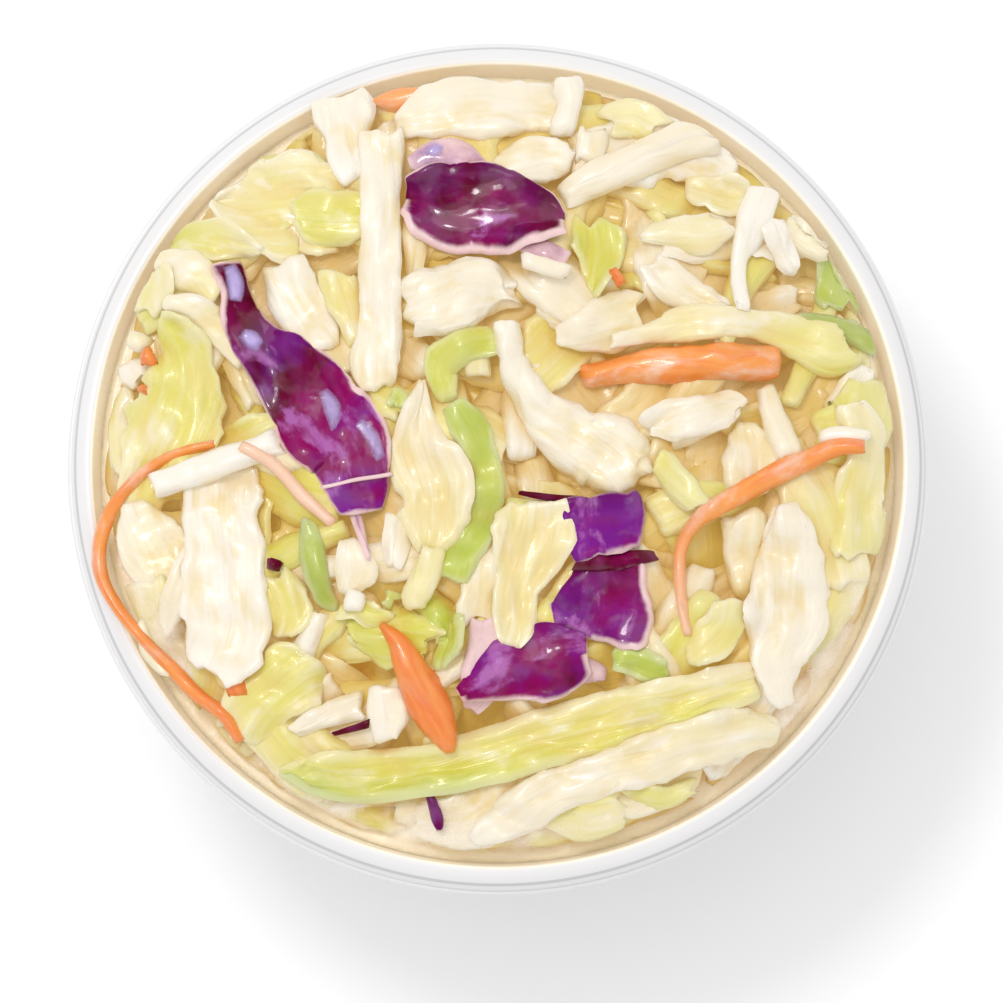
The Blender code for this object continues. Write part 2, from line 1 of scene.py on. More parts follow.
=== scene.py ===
"""Coleslaw in a white plastic cup: the cup's finish, every shred that shows, the dressing, the light and the camera.

Metres, +Z up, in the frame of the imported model. The shreds are laid one after another on a measured bed, as
salad is spooned into a cup, so each lies on what is under it.
"""

import functools
import math
from collections import namedtuple

import bmesh
import bpy
import numpy as np
from bpy.props import FloatProperty, FloatVectorProperty, IntProperty, PointerProperty
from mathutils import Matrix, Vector


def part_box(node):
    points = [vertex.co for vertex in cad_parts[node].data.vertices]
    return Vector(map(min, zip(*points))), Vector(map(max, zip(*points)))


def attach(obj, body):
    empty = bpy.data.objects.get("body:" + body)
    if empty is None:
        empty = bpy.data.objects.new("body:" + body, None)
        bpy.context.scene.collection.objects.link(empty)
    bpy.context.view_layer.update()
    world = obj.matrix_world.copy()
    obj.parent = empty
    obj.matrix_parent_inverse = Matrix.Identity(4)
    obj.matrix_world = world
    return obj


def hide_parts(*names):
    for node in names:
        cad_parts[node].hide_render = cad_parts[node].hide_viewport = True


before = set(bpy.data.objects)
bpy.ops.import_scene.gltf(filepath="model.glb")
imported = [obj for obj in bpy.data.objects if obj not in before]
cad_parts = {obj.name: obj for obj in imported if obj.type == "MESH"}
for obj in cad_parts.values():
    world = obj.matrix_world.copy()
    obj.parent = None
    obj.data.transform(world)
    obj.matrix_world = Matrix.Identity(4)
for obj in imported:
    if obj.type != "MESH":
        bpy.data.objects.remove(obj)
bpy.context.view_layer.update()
CUP_LOW, CUP_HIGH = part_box("cup")

bl_info = {
    "name": "Coleslaw in a cup",
    "version": (1, 0, 0),
    "blender": (4, 5, 0),
    "location": "3D View > Sidebar > Coleslaw",
    "description": "Makes a plastic cup of coleslaw, shred by shred, with its light and camera",
    "category": "Add Mesh",
}

MM = 0.001
BLACK = (0.0, 0.0, 0.0)

# The cup's section, against its height and its flange's radius.
LIP_INSET = 0.4 * MM
SHOULDER_INSET = 2.5 * MM
MOUTH_INSET = 3.0 * MM
LIP_DROP = 2.4 * MM
LIP_UNDERSIDE_ANGLE = 65
WALL = 0.8 * MM
WALL_TAPER = math.radians(8)
LEDGE_DEPTH = 9.3 * MM
LEDGE_WIDTH = 1.0 * MM
LEDGE_SLOPE = 0.6 * MM
PANEL_HEIGHT = 2.3 * MM
FLOOR_FILLET = 3.0 * MM
FOOT_INNER_RADIUS = 34.6 * MM
FOOT_ROUND = 2.0 * MM
EDGE_ROUND = 0.25 * MM
# The thin dark line round the lip is painted shade in its crease: where it lies in from the flange's edge, and how
# wide it is.
SHADE_LINE_INSET = 0.95 * MM
SHADE_LINE_WIDTH = 0.2 * MM
MERGE = 0.001 * MM
CUP_STEPS = 192
SHARP_ANGLE = math.radians(50)

# The heap's core and the bed that the shreds are laid on.
CORE_GAP = 0.35 * MM
CORE_DROP = 2.4 * MM
BRIM_DEPTH = 3.8 * MM
BRIM_GAP = 0.15 * MM
CORE_EDGE_RADIUS = 42.6 * MM
CORE_RINGS = 60
CORE_STEPS = 192
CORE_SIDE_STEPS = 12
DOME_POWER = 2.6
LEVEL_POWER = 4
CALM_POWER = 8
BUMP_HEIGHT = 0.7 * MM
BUMP_LENGTH = 13 * MM
BUMP_WAVES = 6
GRIT_HEIGHT = 0.3 * MM
GRIT_LENGTH = 3 * MM
GRIT_WAVES = 8
BED_REACH = 50 * MM
BED_CELL = 0.3 * MM
# How far the bed is evened out, and the depth round it over which cabbage goes from painted highlight to painted
# shade.
DEPTH_REACH = 4 * MM
DEPTH_SPAN = 3.4 * MM

# How the shreds settle.
STEP = 0.48 * MM
FILLER_STEP = 0.8 * MM
DROP_STEP = 0.15 * MM
FEWEST_STEPS = 4
CROWDING = 1.35
REST_REACH = 4.8 * MM
SINK = 0.25 * MM
SHRED_GAP = 0.45 * MM
WALL_BAND = 1.6 * MM
WALL_CLEARANCE = 0.12 * MM
RIM_REACH = 43.4 * MM
RIM_CLEARANCE = 0.1 * MM
RIM_SPARE = 0.5 * MM
SHRED_TOP = 2.5 * MM

# How their edges are cut and rounded, and how their faces wave, curl, crumple and crease. The two borders, which
# are how wide a pale edge is, are in millimetres.
EDGE_ROUNDING = 0.8
LEAST_FULL = 0.004
WAVE_LENGTH = 9 * MM
WAVE_STARTS = 6.3
CURLS = (1, 1, -0.8)
TWIST = 0.25
CRUMPLE_LENGTH = 4.5 * MM
CRUMPLE_WAVES = 5
CREASE_SHARES = (0.65, 0.35, 0.2)
CREASE_SLANT = 0.9
CUT_SHIFT = 0.35
LONG_CUTS = 3.2 * MM
SHORT_CUTS = 1.1 * MM
NIBBLES = 1.3 * MM
NIBBLE_DEPTH = 5 * MM
END_TAPER = 0.18
END_TAPER_RATE = 4
LEAST_WIDTH = 0.5 * MM
LEAST_AREA = 0.003 * MM * MM
CUT_BORDER = 0.9
UNCUT_BORDER = 0.1

# Each kind of shred. Sizes are in millimetres: thickness, rise of the middle, wave along the edges, soft crumple
# of the face, height and spacing of the creases along it. Ragged is the outline's unevenness as a share of the
# width, and edge how pale the cut is.
Kind = namedtuple("Kind", "thick crown wave crumple crease spacing ragged edge")
KINDS = {
    "white": Kind(thick=0.95, crown=0.5, wave=0.3, crumple=0.2, crease=0.22, spacing=2.4, ragged=0.18, edge=0.5),
    "leaf": Kind(thick=0.5, crown=0.5, wave=0.6, crumple=0.26, crease=0.22, spacing=3.0, ragged=0.26, edge=0.7),
    "red": Kind(thick=0.7, crown=0.6, wave=0.3, crumple=0.25, crease=0.2, spacing=4.0, ragged=0.1, edge=0.9),
    "carrot": Kind(thick=1.2, crown=0.1, wave=0.0, crumple=0.05, crease=0.14, spacing=1.3, ragged=0.1, edge=0.3),
    "dressing": Kind(thick=0.5, crown=0.0, wave=0.0, crumple=0.03, crease=0.0, spacing=3.0, ragged=0.05, edge=1.0),
}

Shred = namedtuple("Shred", "name kind leafy stations options")


def shred(name, kind, leafy, *stations, **options):
    """One shred, through stations of (x, y, width) in millimetres, as seen in the photo.

    Leafy runs from 0, a white rib, over yellow to 1, a dark green margin, and may be a pair for its two ends. It
    runs from maroon to violet in red cabbage, from milky to orange in carrot, and is 1 for a drop of dressing.
    Options are any size of its kind, over_rim, and these for its colour: across, how leafy changes over the width;
    rim, the width of the pale border; pale, the least paleness; pale_side, 1 or -1 where one side has no border.
    """
    return Shred(name, kind, leafy, stations, options)


# From the lowest shred to the topmost.
SHREDS = (
    shred("back_edge", "leaf", 0.4, (12, 38, 4), (15, 38.7, 5), (18.5, 37, 3.5)),
    shred("back_right_bed", "leaf", 0.35, (21.5, 31, 3), (24.5, 30, 5), (27.5, 29.5, 4.5)),
    shred("right_edge", "leaf", 0.85, (36, 26, 2), (37.7, 22, 3.5), (38.6, 19.2, 5), (39.3, 17, 5.2)),
    shred("far_right_bed", "white", 0.25, (32, 27, 3), (35, 25, 4), (38.3, 23.5, 3)),
    shred("back_left_leaf", "leaf", (0.34, 0.42), (-32.5, 29.5, 2), (-29, 28.2, 7.5), (-25.7, 28.2, 9.4),
          (-22.3, 28.8, 11.5), (-19, 28.2, 10.5), (-15.8, 26.5, 6), edge=1.0, crown=-0.9),
    shred("left_strip", "leaf", (0.7, 0.4), (-38, 24.5, 2), (-35.5, 25, 4), (-32, 24.6, 4.8), (-29, 24, 3),
          (-26.4, 23.4, 1)),
    shred("left_sliver", "white", 0.35, (-38.9, 22.8, 2), (-36.5, 21.8, 3.5), (-33.8, 20.4, 4.6),
          (-31.2, 17.9, 1.5)),
    shred("left_curl", "leaf", 0.45, (-39.7, 21.9, 2), (-39, 20, 5), (-39.8, 17.8, 4.5), (-40.3, 15.8, 3.5)),
    shred("left_wedge", "white", 0.3, (-37.2, 17.2, 1.5), (-34.5, 17, 3), (-32, 15.2, 3.6), (-30.3, 13.2, 3),
          (-28.8, 11, 1.2), edge=1.0),
    shred("left_cream_bit", "white", 0.3, (-42, 13.8, 1.4), (-40.4, 13.2, 2.2), (-39, 12.9, 1.6)),
    shred("left_yellow", "leaf", 0.42, (-41.4, 8.2, 2.4), (-42.3, 5.4, 3.8), (-42.4, 2, 3.6), (-41.8, -1.4, 3)),
    shred("left_lump", "white", 0.12, (-42.2, 11.6, 2), (-41.4, 10.4, 3.6), (-40.2, 9, 3.2), (-39.4, 8.2, 2),
          crumple=0.6, ragged=0.3),
    shred("left_leaf", "leaf", (0.62, 0.42), (-37.5, 15.4, 3), (-35.3, 12.5, 5.5), (-35, 8.5, 8), (-36, 4.5, 10),
          (-38, 0, 9), (-39.5, -4, 5.5), (-38.8, -8, 2.5)),
    shred("left_low_leaf", "white", 0.2, (-40.8, -5, 3), (-39.2, -8.5, 7), (-37.2, -11.8, 8),
          (-35.5, -15, 5), crown=0.2, wave=0.1),
    shred("left_low_strip", "leaf", 0.35, (-39.5, -14.5, 5.5), (-38.8, -18, 4.5), (-38, -21.5, 2)),
    shred("middle_block", "white", 0.12, (-10.4, 17.1, 6.8), (-6.5, 18.3, 8.2), (-1.5, 19.6, 7.2),
          (2.3, 18.7, 2.6), thick=1.8),
    shred("white_under_red", "white", 0.1, (-24, 22.5, 5.2), (-22.6, 18.8, 6.2), (-20.5, 15.4, 5.9),
          (-19.2, 12.9, 4)),
    shred("pale_strip", "leaf", 0.45, (-18.2, 21.4, 4.5), (-16.9, 17.6, 3.8), (-15.8, 14, 2.9)),
    shred("right_cross_leaf", "leaf", 0.3, (17, 26, 2), (20, 26, 3.5), (23.5, 25.6, 4), (25.5, 26, 2), edge=1.0),
    shred("right_cross_rib", "white", 0.15, (17, 22.8, 2.5), (19, 20.8, 4.5), (22.5, 18.5, 4), (26.2, 16.8, 1.2),
          edge=1.0, crown=-0.7),
    shred("middle_fold", "white", 0.15, (5.8, 14.2, 1.4), (9, 15, 3.8), (12.5, 15.8, 5.5), (16.5, 17, 5.4)),
    shred("green_under_stick", "leaf", 0.62, (11, 27.6, 5.6), (11.5, 24.5, 6.5), (11, 21.8, 4), (10.5, 18.8, 1.6)),
    shred("right_green_tip", "leaf", 0.9, (34, 16, 1.5), (39, 14.6, 3), (42, 13, 2.5), (43.2, 12, 1.2)),
    shred("right_long_leaf", "white", (0.12, 0.6), (12.1, 13.4, 1.5), (17, 14.8, 2.5), (20.5, 15.6, 4),
          (25, 15.4, 3.5), (31.5, 14.8, 3.8), (35.5, 13, 6), (38.5, 12.1, 5), (40, 12.5, 3)),
    shred("right_knob", "white", 0.12, (16.2, 3.8, 2), (19, 4.8, 4.4), (23, 5.3, 4.2), (26.5, 6.2, 3.2),
          (27.8, 6, 1.6), crown=1.2),
    shred("right_upright", "white", 0.18, (27.4, 3.9, 4.3), (28.1, 0, 6.3), (27.9, -3.6, 5.4)),
    shred("right_slant", "white", 0.22, (29.8, 8.3, 1.8), (30.9, 4.6, 3), (32.5, 0.3, 2.7)),
    shred("inner_slant", "leaf", 0.5, (17.4, 1.1, 2.4), (20.5, -2.8, 3.2), (23, -5.4, 2.6)),
    shred("inner_strip", "white", 0.25, (27.3, -5.3, 5.6), (27.2, -10.8, 4.3), (27.3, -15.4, 1.1)),
    shred("right_frill", "leaf", (0.35, 0.5), (38.8, 6.3, 4), (40.8, 3.2, 4.5), (41, -0.8, 4), (40.2, -4.8, 7),
          (39.9, -8.8, 7.2), (39.9, -11.7, 4.5), edge=1.0, wave=1.0),
    shred("low_right_curl", "leaf", 0.45, (25.5, -15.6, 4), (25, -18.5, 4.6), (22.8, -21, 4), (20.8, -22, 2),
          wave=1.0),
    shred("low_olive_fold", "leaf", 0.8, (12, -22.5, 2), (14.5, -22, 4.2), (17.5, -23, 3.6), (19.8, -23.5, 1.2)),
    shred("centre_strip", "leaf", 0.2, (-1.2, -7.4, 2.1), (-2, -13.1, 3.4), (-2.6, -18.2, 4.5)),
    shred("centre_shadow_leaf", "leaf", 0.9, (-21, -6.3, 1.7), (-20.5, -10.8, 3), (-19, -15, 2.6),
          (-17.6, -16, 1)),
    shred("centre_left_chunk", "white", 0.2, (-16.5, -8.8, 2.8), (-16, -12.2, 4.8), (-16.6, -14.5, 3)),
    shred("low_left_piece", "leaf", 0.5, (-25, -12.8, 4), (-23.8, -15.5, 6.3), (-23.3, -18, 5), (-24, -19.9, 1.5)),
    shred("low_left_leaf", "leaf", 0.52, (-28.5, -31, 4), (-27, -28, 7.5), (-24.5, -25.5, 9), (-21.8, -23.3, 8),
          (-20.5, -22.5, 3)),
    shred("low_strip", "white", 0.15, (-23.2, -30.7, 1.7), (-19.5, -28.7, 3), (-14.8, -26.9, 4)),
    shred("low_short", "white", 0.12, (-12.6, -25, 3.3), (-12.2, -27.9, 4.4), (-12.3, -31.5, 2.5)),
    shred("pool_low", "dressing", 0.0, (-28, -33.5, 3), (-20, -38.2, 5.4), (-10, -41, 5.6), (0, -42, 5),
          (9, -41.2, 4), (17, -39, 3), thick=0.3),
    shred("pool_right", "dressing", 0.0, (26, -34.4, 2.6), (33, -28, 4.4), (38, -20.5, 4.6), (40.6, -13, 3),
          thick=0.3),
    shred("bottom_sliver", "red", 0.4, (-7.9, -37.2, 0.8), (-7.1, -39, 1.3), (-6.6, -40.8, 1.3), (-6.4, -42, 0.6),
          edge=0.8, rim=0.3),
    shred("left_orange_top", "carrot", 0.5, (-39.7, 12.6, 1.4), (-38.9, 10.4, 2.2)),
    shred("left_orange_low", "carrot", 0.5, (-40.4, 8.2, 0.9), (-39.2, 7.7, 1.1)),
    shred("right_orange", "carrot", 0.6, (12.6, 22, 1), (14, 19.6, 1.4)),
    shred("maroon_spot", "red", 0.1, (-25.8, -11.4, 1.4), (-24, -11.9, 1.2), edge=0),
    shred("maroon_sliver", "red", 0.1, (-18.4, -30.7, 0.6), (-14.2, -29.4, 1), edge=0),
    shred("bottom_frill", "leaf", 0.55, (14, -36.2, 2.4), (18, -38, 2.8), (22, -37, 2.4), wave=1.0),
    shred("bottom_green", "leaf", (0.7, 0.42), (-24.3, -35.3, 1), (-20.6, -35.7, 4.9), (-14.8, -35.6, 6.5),
          (-8, -34.9, 6.4), (-1.5, -33.3, 6.9), (6.4, -30.8, 7.2), (14.9, -28.6, 6.8), (22.2, -26.7, 5.7),
          (28.7, -25, 5.2), thick=1.2, crown=1.0, wave=0.3, ragged=0.05, across=-0.13),
    shred("low_right_leaf", "white", 0.12, (31.8, -5.1, 2.7), (32.3, -9.2, 6.1), (32.1, -14.2, 8.7),
          (31.9, -18.8, 9.8), (30.8, -22.8, 6.5), (31.1, -26.2, 3.3), (32, -28.2, 1.7), thick=0.9, crumple=0.3,
          ragged=0.14, wave=0.8),
    shred("bottom_spear", "white", (0.15, 0.3), (-2.6, -42.6, 1.4), (0.6, -40.9, 4.3), (4.4, -38.2, 5.8),
          (9.8, -36, 5.5), (15.4, -34.1, 5.6), (21.9, -32, 5.6), (27.7, -30.8, 5.6), (31, -30.5, 3.2),
          ragged=0.14, crumple=0.3, wave=0.7),
    shred("frill_right", "leaf", 0.78, (-9.4, -14.6, 2.2), (-7, -17, 3.6), (-5.8, -20, 3.4), (-6.4, -22.4, 1.6),
          wave=1.2, ragged=0.4),
    shred("low_frilly_leaf", "leaf", 0.66, (-18, -18.2, 1.5), (-15.5, -18.6, 5), (-12, -19.4, 6.5),
          (-8.5, -19.9, 6.5), (-6.5, -20.5, 3.5), wave=1.2, ragged=0.45),
    shred("frill_top", "leaf", 0.58, (-18, -17, 1.4), (-16, -16.4, 2.4), (-13.8, -17, 2.8), (-11.8, -16.6, 1.6),
          wave=1.2),
    shred("low_orange", "carrot", 0.6, (-29.8, -23.4, 2), (-28.9, -26.6, 2.4)),
    shred("rim_flap", "leaf", 0.3, (-39.9, -18.8, 1), (-38.9, -21.8, 2.2), (-37.1, -24.6, 1.2), over_rim=True),
    shred("pool_left", "dressing", 0.0, (-40.2, -13, 3), (-38.4, -17, 5), (-36, -21, 5), (-33, -26, 3.4), thick=0.3),
    shred("low_left_point", "white", 0.15, (-33, -10, 4.4), (-34.8, -13.5, 4.2), (-36.4, -17, 3.2),
          (-37.3, -19.8, 1.2)),
    shred("low_left_cream", "white", 0.05, (-30.4, 0, 8), (-31, -3, 9.6), (-30.9, -7, 9.1), (-30.6, -11, 8.8),
          (-30.3, -14.8, 9.6), (-30.1, -18.5, 10.4), (-31, -21.8, 9), (-32.3, -24.4, 6.4), thick=0.8, crown=0.3,
          crease=0.08, ragged=0.14),
    shred("carrot_back", "carrot", 0.2, (-13.9, 40.6, 1), (-11.8, 40.8, 2.6), (-7.8, 41.4, 1)),
    shred("back_leaf", "white", 0.15, (-11.8, 37.9, 1.7), (-8.2, 38.8, 5.2), (-3.2, 39.8, 6.5), (3, 39.8, 6.3),
          (7.1, 39.3, 4)),
    shred("back_knob", "white", 0.05, (7.9, 43, 2.2), (8, 42, 3.4), (8, 40.5, 2.6), (7.6, 38.5, 2.2),
          (7.4, 37, 2.2), thick=2.2),
    shred("back_small_fold", "white", 0.1, (10.7, 37, 3.6), (10, 33.8, 3.2)),
    shred("back_pale_strip", "white", 0.1, (-0.7, 32.6, 1), (1.9, 33.3, 4), (5.6, 34.2, 4.8), (8.2, 34.4, 2.8)),
    shred("long_stick", "white", 0.2, (25.4, 36, 3.2), (22.8, 36.4, 4.3), (18.5, 35, 4), (14.3, 33.3, 4.1),
          (9.8, 31.3, 3.6), (7, 29.6, 3), thick=1.7, ragged=0.06),
    shred("forked_leg", "white", 0.03, (30, 30.5, 4.5), (28.7, 27, 3.8), (26.9, 22.6, 1.7), (27.3, 17.1, 1.8)),
    shred("forked_lobe", "white", 0.03, (30.7, 26.6, 3.5), (31.9, 23.8, 3.3), (33, 21.5, 2.7)),
    shred("small_back_leaf", "leaf", 0.62, (-23.2, 27.9, 2.5), (-21.5, 27.8, 6), (-18.5, 27.5, 6.2),
          (-15.5, 27.5, 5.5), (-14, 27.2, 4), edge=0.9, ragged=0.12),
    shred("red_curl", "red", 0.8, (2.4, 24.6, 1.4), (5, 23.4, 2.8), (7.6, 22.4, 2.6), pale=0.6),
    shred("red_lobe", "red", 0.8, (-9.4, 33.2, 2.6), (-7.4, 34.2, 3.6), (-4.6, 34.3, 4), (-2, 32.8, 2.4), pale=0.55,
          thick=0.6),
    shred("back_red", "red", 0.3, (-10.6, 29.6, 5.5), (-8, 29.2, 8.6), (-4.5, 28.6, 9.6), (0, 28.2, 9.6),
          (3.8, 27.5, 7.4), (6.3, 27, 4.8), (7.6, 26.8, 2.8), pale_side=-1, rim=1.2),
    shred("rim_fold", "white", 0.05, (-18.3, 41.2, 7.4), (-17.5, 38.8, 7), (-17, 36.4, 4.8), (-16.7, 34, 4.4),
          (-15.9, 31.4, 2.6), over_rim=True, ragged=0.12),
    shred("long_ribbon", "white", 0.12, (-13.1, 37.2, 6), (-13.1, 32.4, 4.3), (-13.1, 25.6, 4.8),
          (-13.1, 18.8, 4.6), (-13.2, 14.2, 5), (-13.7, 11.1, 5.4), (-13.5, 8.2, 3.4), ragged=0.12),
    shred("curled_green", "leaf", 0.7, (-0.8, 13.8, 4), (-4, 12.8, 4.6), (-6.3, 10.8, 4.2), (-6, 8.2, 2.5)),
    shred("green_band", "leaf", 0.8, (-5, 7.1, 3.6), (-2.8, 2.8, 4.2), (-1.2, -1.5, 3.4), (-1.8, -6.3, 4),
          (-4, -10.6, 4), (-4.8, -13.7, 3.4), edge=0.8),
    shred("knob_white", "white", 0.05, (-15.6, -14.2, 2), (-15.9, -15.6, 2.4), (-16, -16.9, 2), ragged=0.06),
    shred("knob_green", "leaf", 0.75, (-12.9, -14.6, 1.8), (-10.9, -15.7, 2.4)),
    shred("small_green", "leaf", 0.75, (-12.8, 8, 1.5), (-11, 7.2, 2.6), (-11.4, 5.3, 1.2)),
    shred("small_white", "white", 0.08, (-10.9, -5.2, 3.6), (-11.4, -9.3, 3.4), (-11.6, -12.3, 1.4)),
    shred("right_white_bit", "white", 0.1, (36, 2.4, 1.6), (38.6, 2.6, 2), (41.3, 2.2, 1)),
    shred("back_small_piece", "white", 0.2, (3.1, 22.2, 2), (7.5, 21.1, 1.6)),
    shred("curved_rib", "white", 0.13, (0.5, 16.2, 2.3), (1.5, 11.4, 2.5), (4.2, 6.6, 4.5), (8.3, 3.2, 7.5),
          (12.6, 0.6, 8.5), (15.5, -2.6, 5), thick=2.0),
    shred("pink_piece", "red", 0.8, (-1.6, -17.6, 3), (-1.4, -21.5, 4.6), (-2.2, -25.5, 4), (-3, -27.8, 2),
          pale=0.8),
    shred("red_tip", "red", 0.8, (7, -23.4, 3.4), (9.8, -23.3, 3.2), (12.2, -23.8, 1.4), pale=0.7, rim=0.7),
    shred("low_red", "red", (0.2, 0.7), (12.6, -10.2, 9.2), (12.2, -12.8, 8.8), (11.7, -15.2, 10.8),
          (11.3, -17.4, 12.6), (10.5, -19.6, 11.6), ragged=0.07, crown=0.4, pale_side=1, rim=1.0),
    shred("low_red_end", "red", (0.6, 0.8), (9.9, -21.6, 5.4), (6.8, -22.1, 9), (3, -22.8, 8.4), (-0.5, -24.2, 5.4),
          (-4.2, -26.2, 1.8), ragged=0.08, crown=0.4, pale_side=1, rim=1.1),
    shred("low_red_fold", "red", 0.0, (8.4, -11.2, 1.8), (13, -11, 2.4), (17.7, -10.5, 1.2), edge=0.2, rim=0.4,
          crown=0.1),
    shred("red_strip", "red", 0.0, (2.6, -3.2, 0.5), (5.5, -3.7, 0.8), (9, -4, 1), thick=0.5, edge=0.2),
    shred("low_red_top", "red", (0.4, 1.0), (11.2, -3.4, 9.8), (11.5, -5.6, 10), (11.8, -8.6, 9.6), (12.1, -10.6, 9),
          edge=0.6, rim=0.7, pale_side=1, crown=0.3),
    shred("low_red_cover", "leaf", 0.32, (4.4, -4.2, 7.2), (4.2, -6.2, 8.8), (3.3, -10.4, 7.7), (2.1, -14.6, 5.4),
          (1.7, -18.4, 4.7), (1.2, -20.6, 3.2), crown=0.4, ragged=0.13),
    shred("carrot_arc", "carrot", (0.3, 0.5), (-31.8, 2, 1), (-35.3, 1, 1.2), (-38.7, -0.7, 1.2), (-41.5, -3.4, 1.3),
          (-43.5, -6.5, 1.5), (-44.6, -10.2, 1.7), (-44.4, -13.7, 1.6), (-42.6, -17.1, 1.5), (-39.8, -20.5, 1.5),
          (-36.7, -23.6, 1.7), (-33.6, -26.7, 1.8), (-30.4, -29.2, 1.5), (-28.7, -31.9, 1.2), thick=0.8,
          over_rim=True),
    shred("white_stick", "white", 0.0, (-38.6, -3.2, 2.7), (-34.5, -1.6, 2.9), (-30.5, -0.1, 2.9), (-27, 1.1, 2.7),
          (-24.3, 2.4, 3.4), thick=1.4, ragged=0.04),
    shred("pink_strip", "carrot", 0.0, (-28.5, 1.5, 1.4), (-25.1, -0.3, 1.6), (-21.7, -3.8, 1.6),
          (-18.4, -6.7, 1.3), thick=0.8),
    shred("spear_leaf", "white", (0.15, 0.35), (-8.5, 9, 0.8), (-8.8, 5.1, 4), (-8.3, 1.7, 7), (-7, -2.8, 8.8),
          (-7.1, -7.4, 6.8), (-7.4, -9.9, 2.8)),
    shred("spear_tongue", "white", 0.42, (-7, -9.3, 2.5), (-7.8, -13.1, 3.2), (-9.1, -15.6, 2.9),
          (-8.9, -16.9, 1.4)),
    shred("red_tail", "red", 0.9, (-16, -5, 1.5), (-15.2, -8, 1), (-14.4, -10.8, 0.6), pale=0.5),
    shred("left_red", "red", (0.1, 1.1), (-30.5, 22, 3.6), (-29.5, 18.8, 3.2), (-28.9, 16.4, 4.6), (-27, 13.7, 6),
          (-24.6, 11.3, 7.9), (-21.9, 8.3, 9.5), (-19.1, 4.4, 10.9), (-16.8, 1.7, 10.4), (-15.9, -1.6, 7.8),
          (-15.2, -5.4, 5.4), ragged=0.05, rim=0.6),
    shred("red_vein", "red", 0.9, (-19.2, -2.7, 0.5), (-15.6, -1.8, 0.5), (-12.2, -1.3, 0.5), pale=0.3, thick=0.3),
    shred("thick_carrot", "carrot", 0.34, (9.6, 10.2, 2.9), (14.9, 10.9, 3.3), (18.8, 11.3, 4.1),
          (22.8, 11.3, 4.2), (31.4, 11.1, 3.8), thick=2.2),
    shred("curved_carrot", "carrot", (0.5, 0.05), (41.1, 0.9, 1.5), (38.5, 1.1, 2), (34, -0.6, 2.5),
          (29.5, -2.3, 2.5), (25, -4.6, 2.3), (22.2, -6.5, 1.7), (20.5, -9.1, 1.5), (20.2, -13.1, 1.4),
          (20.7, -17.6, 1.2), (21.1, -19.9, 1)),
    shred("drop_top", "dressing", 1.0, (-29.4, 17.6, 1.6), (-29.4, 19.6, 2.2), (-30.2, 21.8, 1.7), thick=0.35),
    shred("drop_middle", "dressing", 1.0, (-28.9, 14.4, 1.4), (-27.6, 13.6, 2.4), (-26.4, 12.8, 1.6), thick=0.8),
    shred("drop_back", "dressing", 1.0, (-7.8, 34.4, 1.2), (-7.0, 34.9, 1.7), (-6.2, 34.9, 1.1), thick=0.6),
    shred("drop_long", "dressing", 0.6, (-19.6, 8.4, 1.2), (-18.4, 6, 2.2), (-17.9, 3.4, 1.4), thick=0.2),
    shred("drop_low", "dressing", 0.6, (-15.6, 4.6, 1.4), (-13.8, 2.6, 2), (-13, 0.4, 1.4), thick=0.2),
    shred("carrot_wedge", "carrot", 0.6, (-13.2, -17.8, 0.8), (-11.3, -19.9, 2.3), (-9.8, -23, 3.8),
          (-8.1, -26.4, 5), (-6.4, -29.8, 3.8), (-5.1, -33.3, 1), thick=2.0),
)

# Plain shreds under the others, and those along the wall, in millimetres.
FILLER_REACH = 40.5
FILLER_LENGTH = (10, 27)
FILLER_WIDTH = (3.0, 9.0)
FILLER_BEND = 3
FILLER_LEAFY = (0.05, 0.6)
MOST_REACH = 44.2
EDGE_REACH = (38.5, 43.0)
EDGE_LENGTH = (7, 17)
EDGE_WIDTH = (2.4, 5.5)
EDGE_SPREAD = 0.5
LEAF_SHARE = 0.45
FILLER_ENDS = (0.7, 0.5)


def linear(red, green, blue):
    """A colour of 0 to 255 a channel, as seen on a screen, as linear light."""
    channels = (np.array((red, green, blue)) / 255.0).tolist()
    return tuple(c / 12.92 if c <= 0.04045 else ((c + 0.055) / 1.055) ** 2.4 for c in channels)


def size(label, about, value):
    return FloatProperty(name=label, description=about, default=value, min=0, subtype="DISTANCE", unit="LENGTH")


def colour(label, about, value):
    return FloatVectorProperty(name=label, description=about, default=value, min=0, max=1, subtype="COLOR")


class CupSizes(bpy.types.PropertyGroup):
    height: size("Height", "Height of the cup to its lip", CUP_HIGH.z)
    flange: size("Flange radius", "Radius of the outer edge of the flange", CUP_HIGH.x)


class HeapSizes(bpy.types.PropertyGroup):
    rise: size("Rise", "Height of the heap's core over the lip", 4.0 * MM)
    fall: size("Fall", "How far the core falls from its middle to the wall", 10.5 * MM)
    fillers: IntProperty(name="Under shreds", description="Plain shreds under the others", default=170, min=0)
    edging: IntProperty(name="Edge shreds", description="Plain shreds along the wall", default=90, min=0)
    seed: IntProperty(name="Seed", description="Start of the random draws", default=11, min=0)


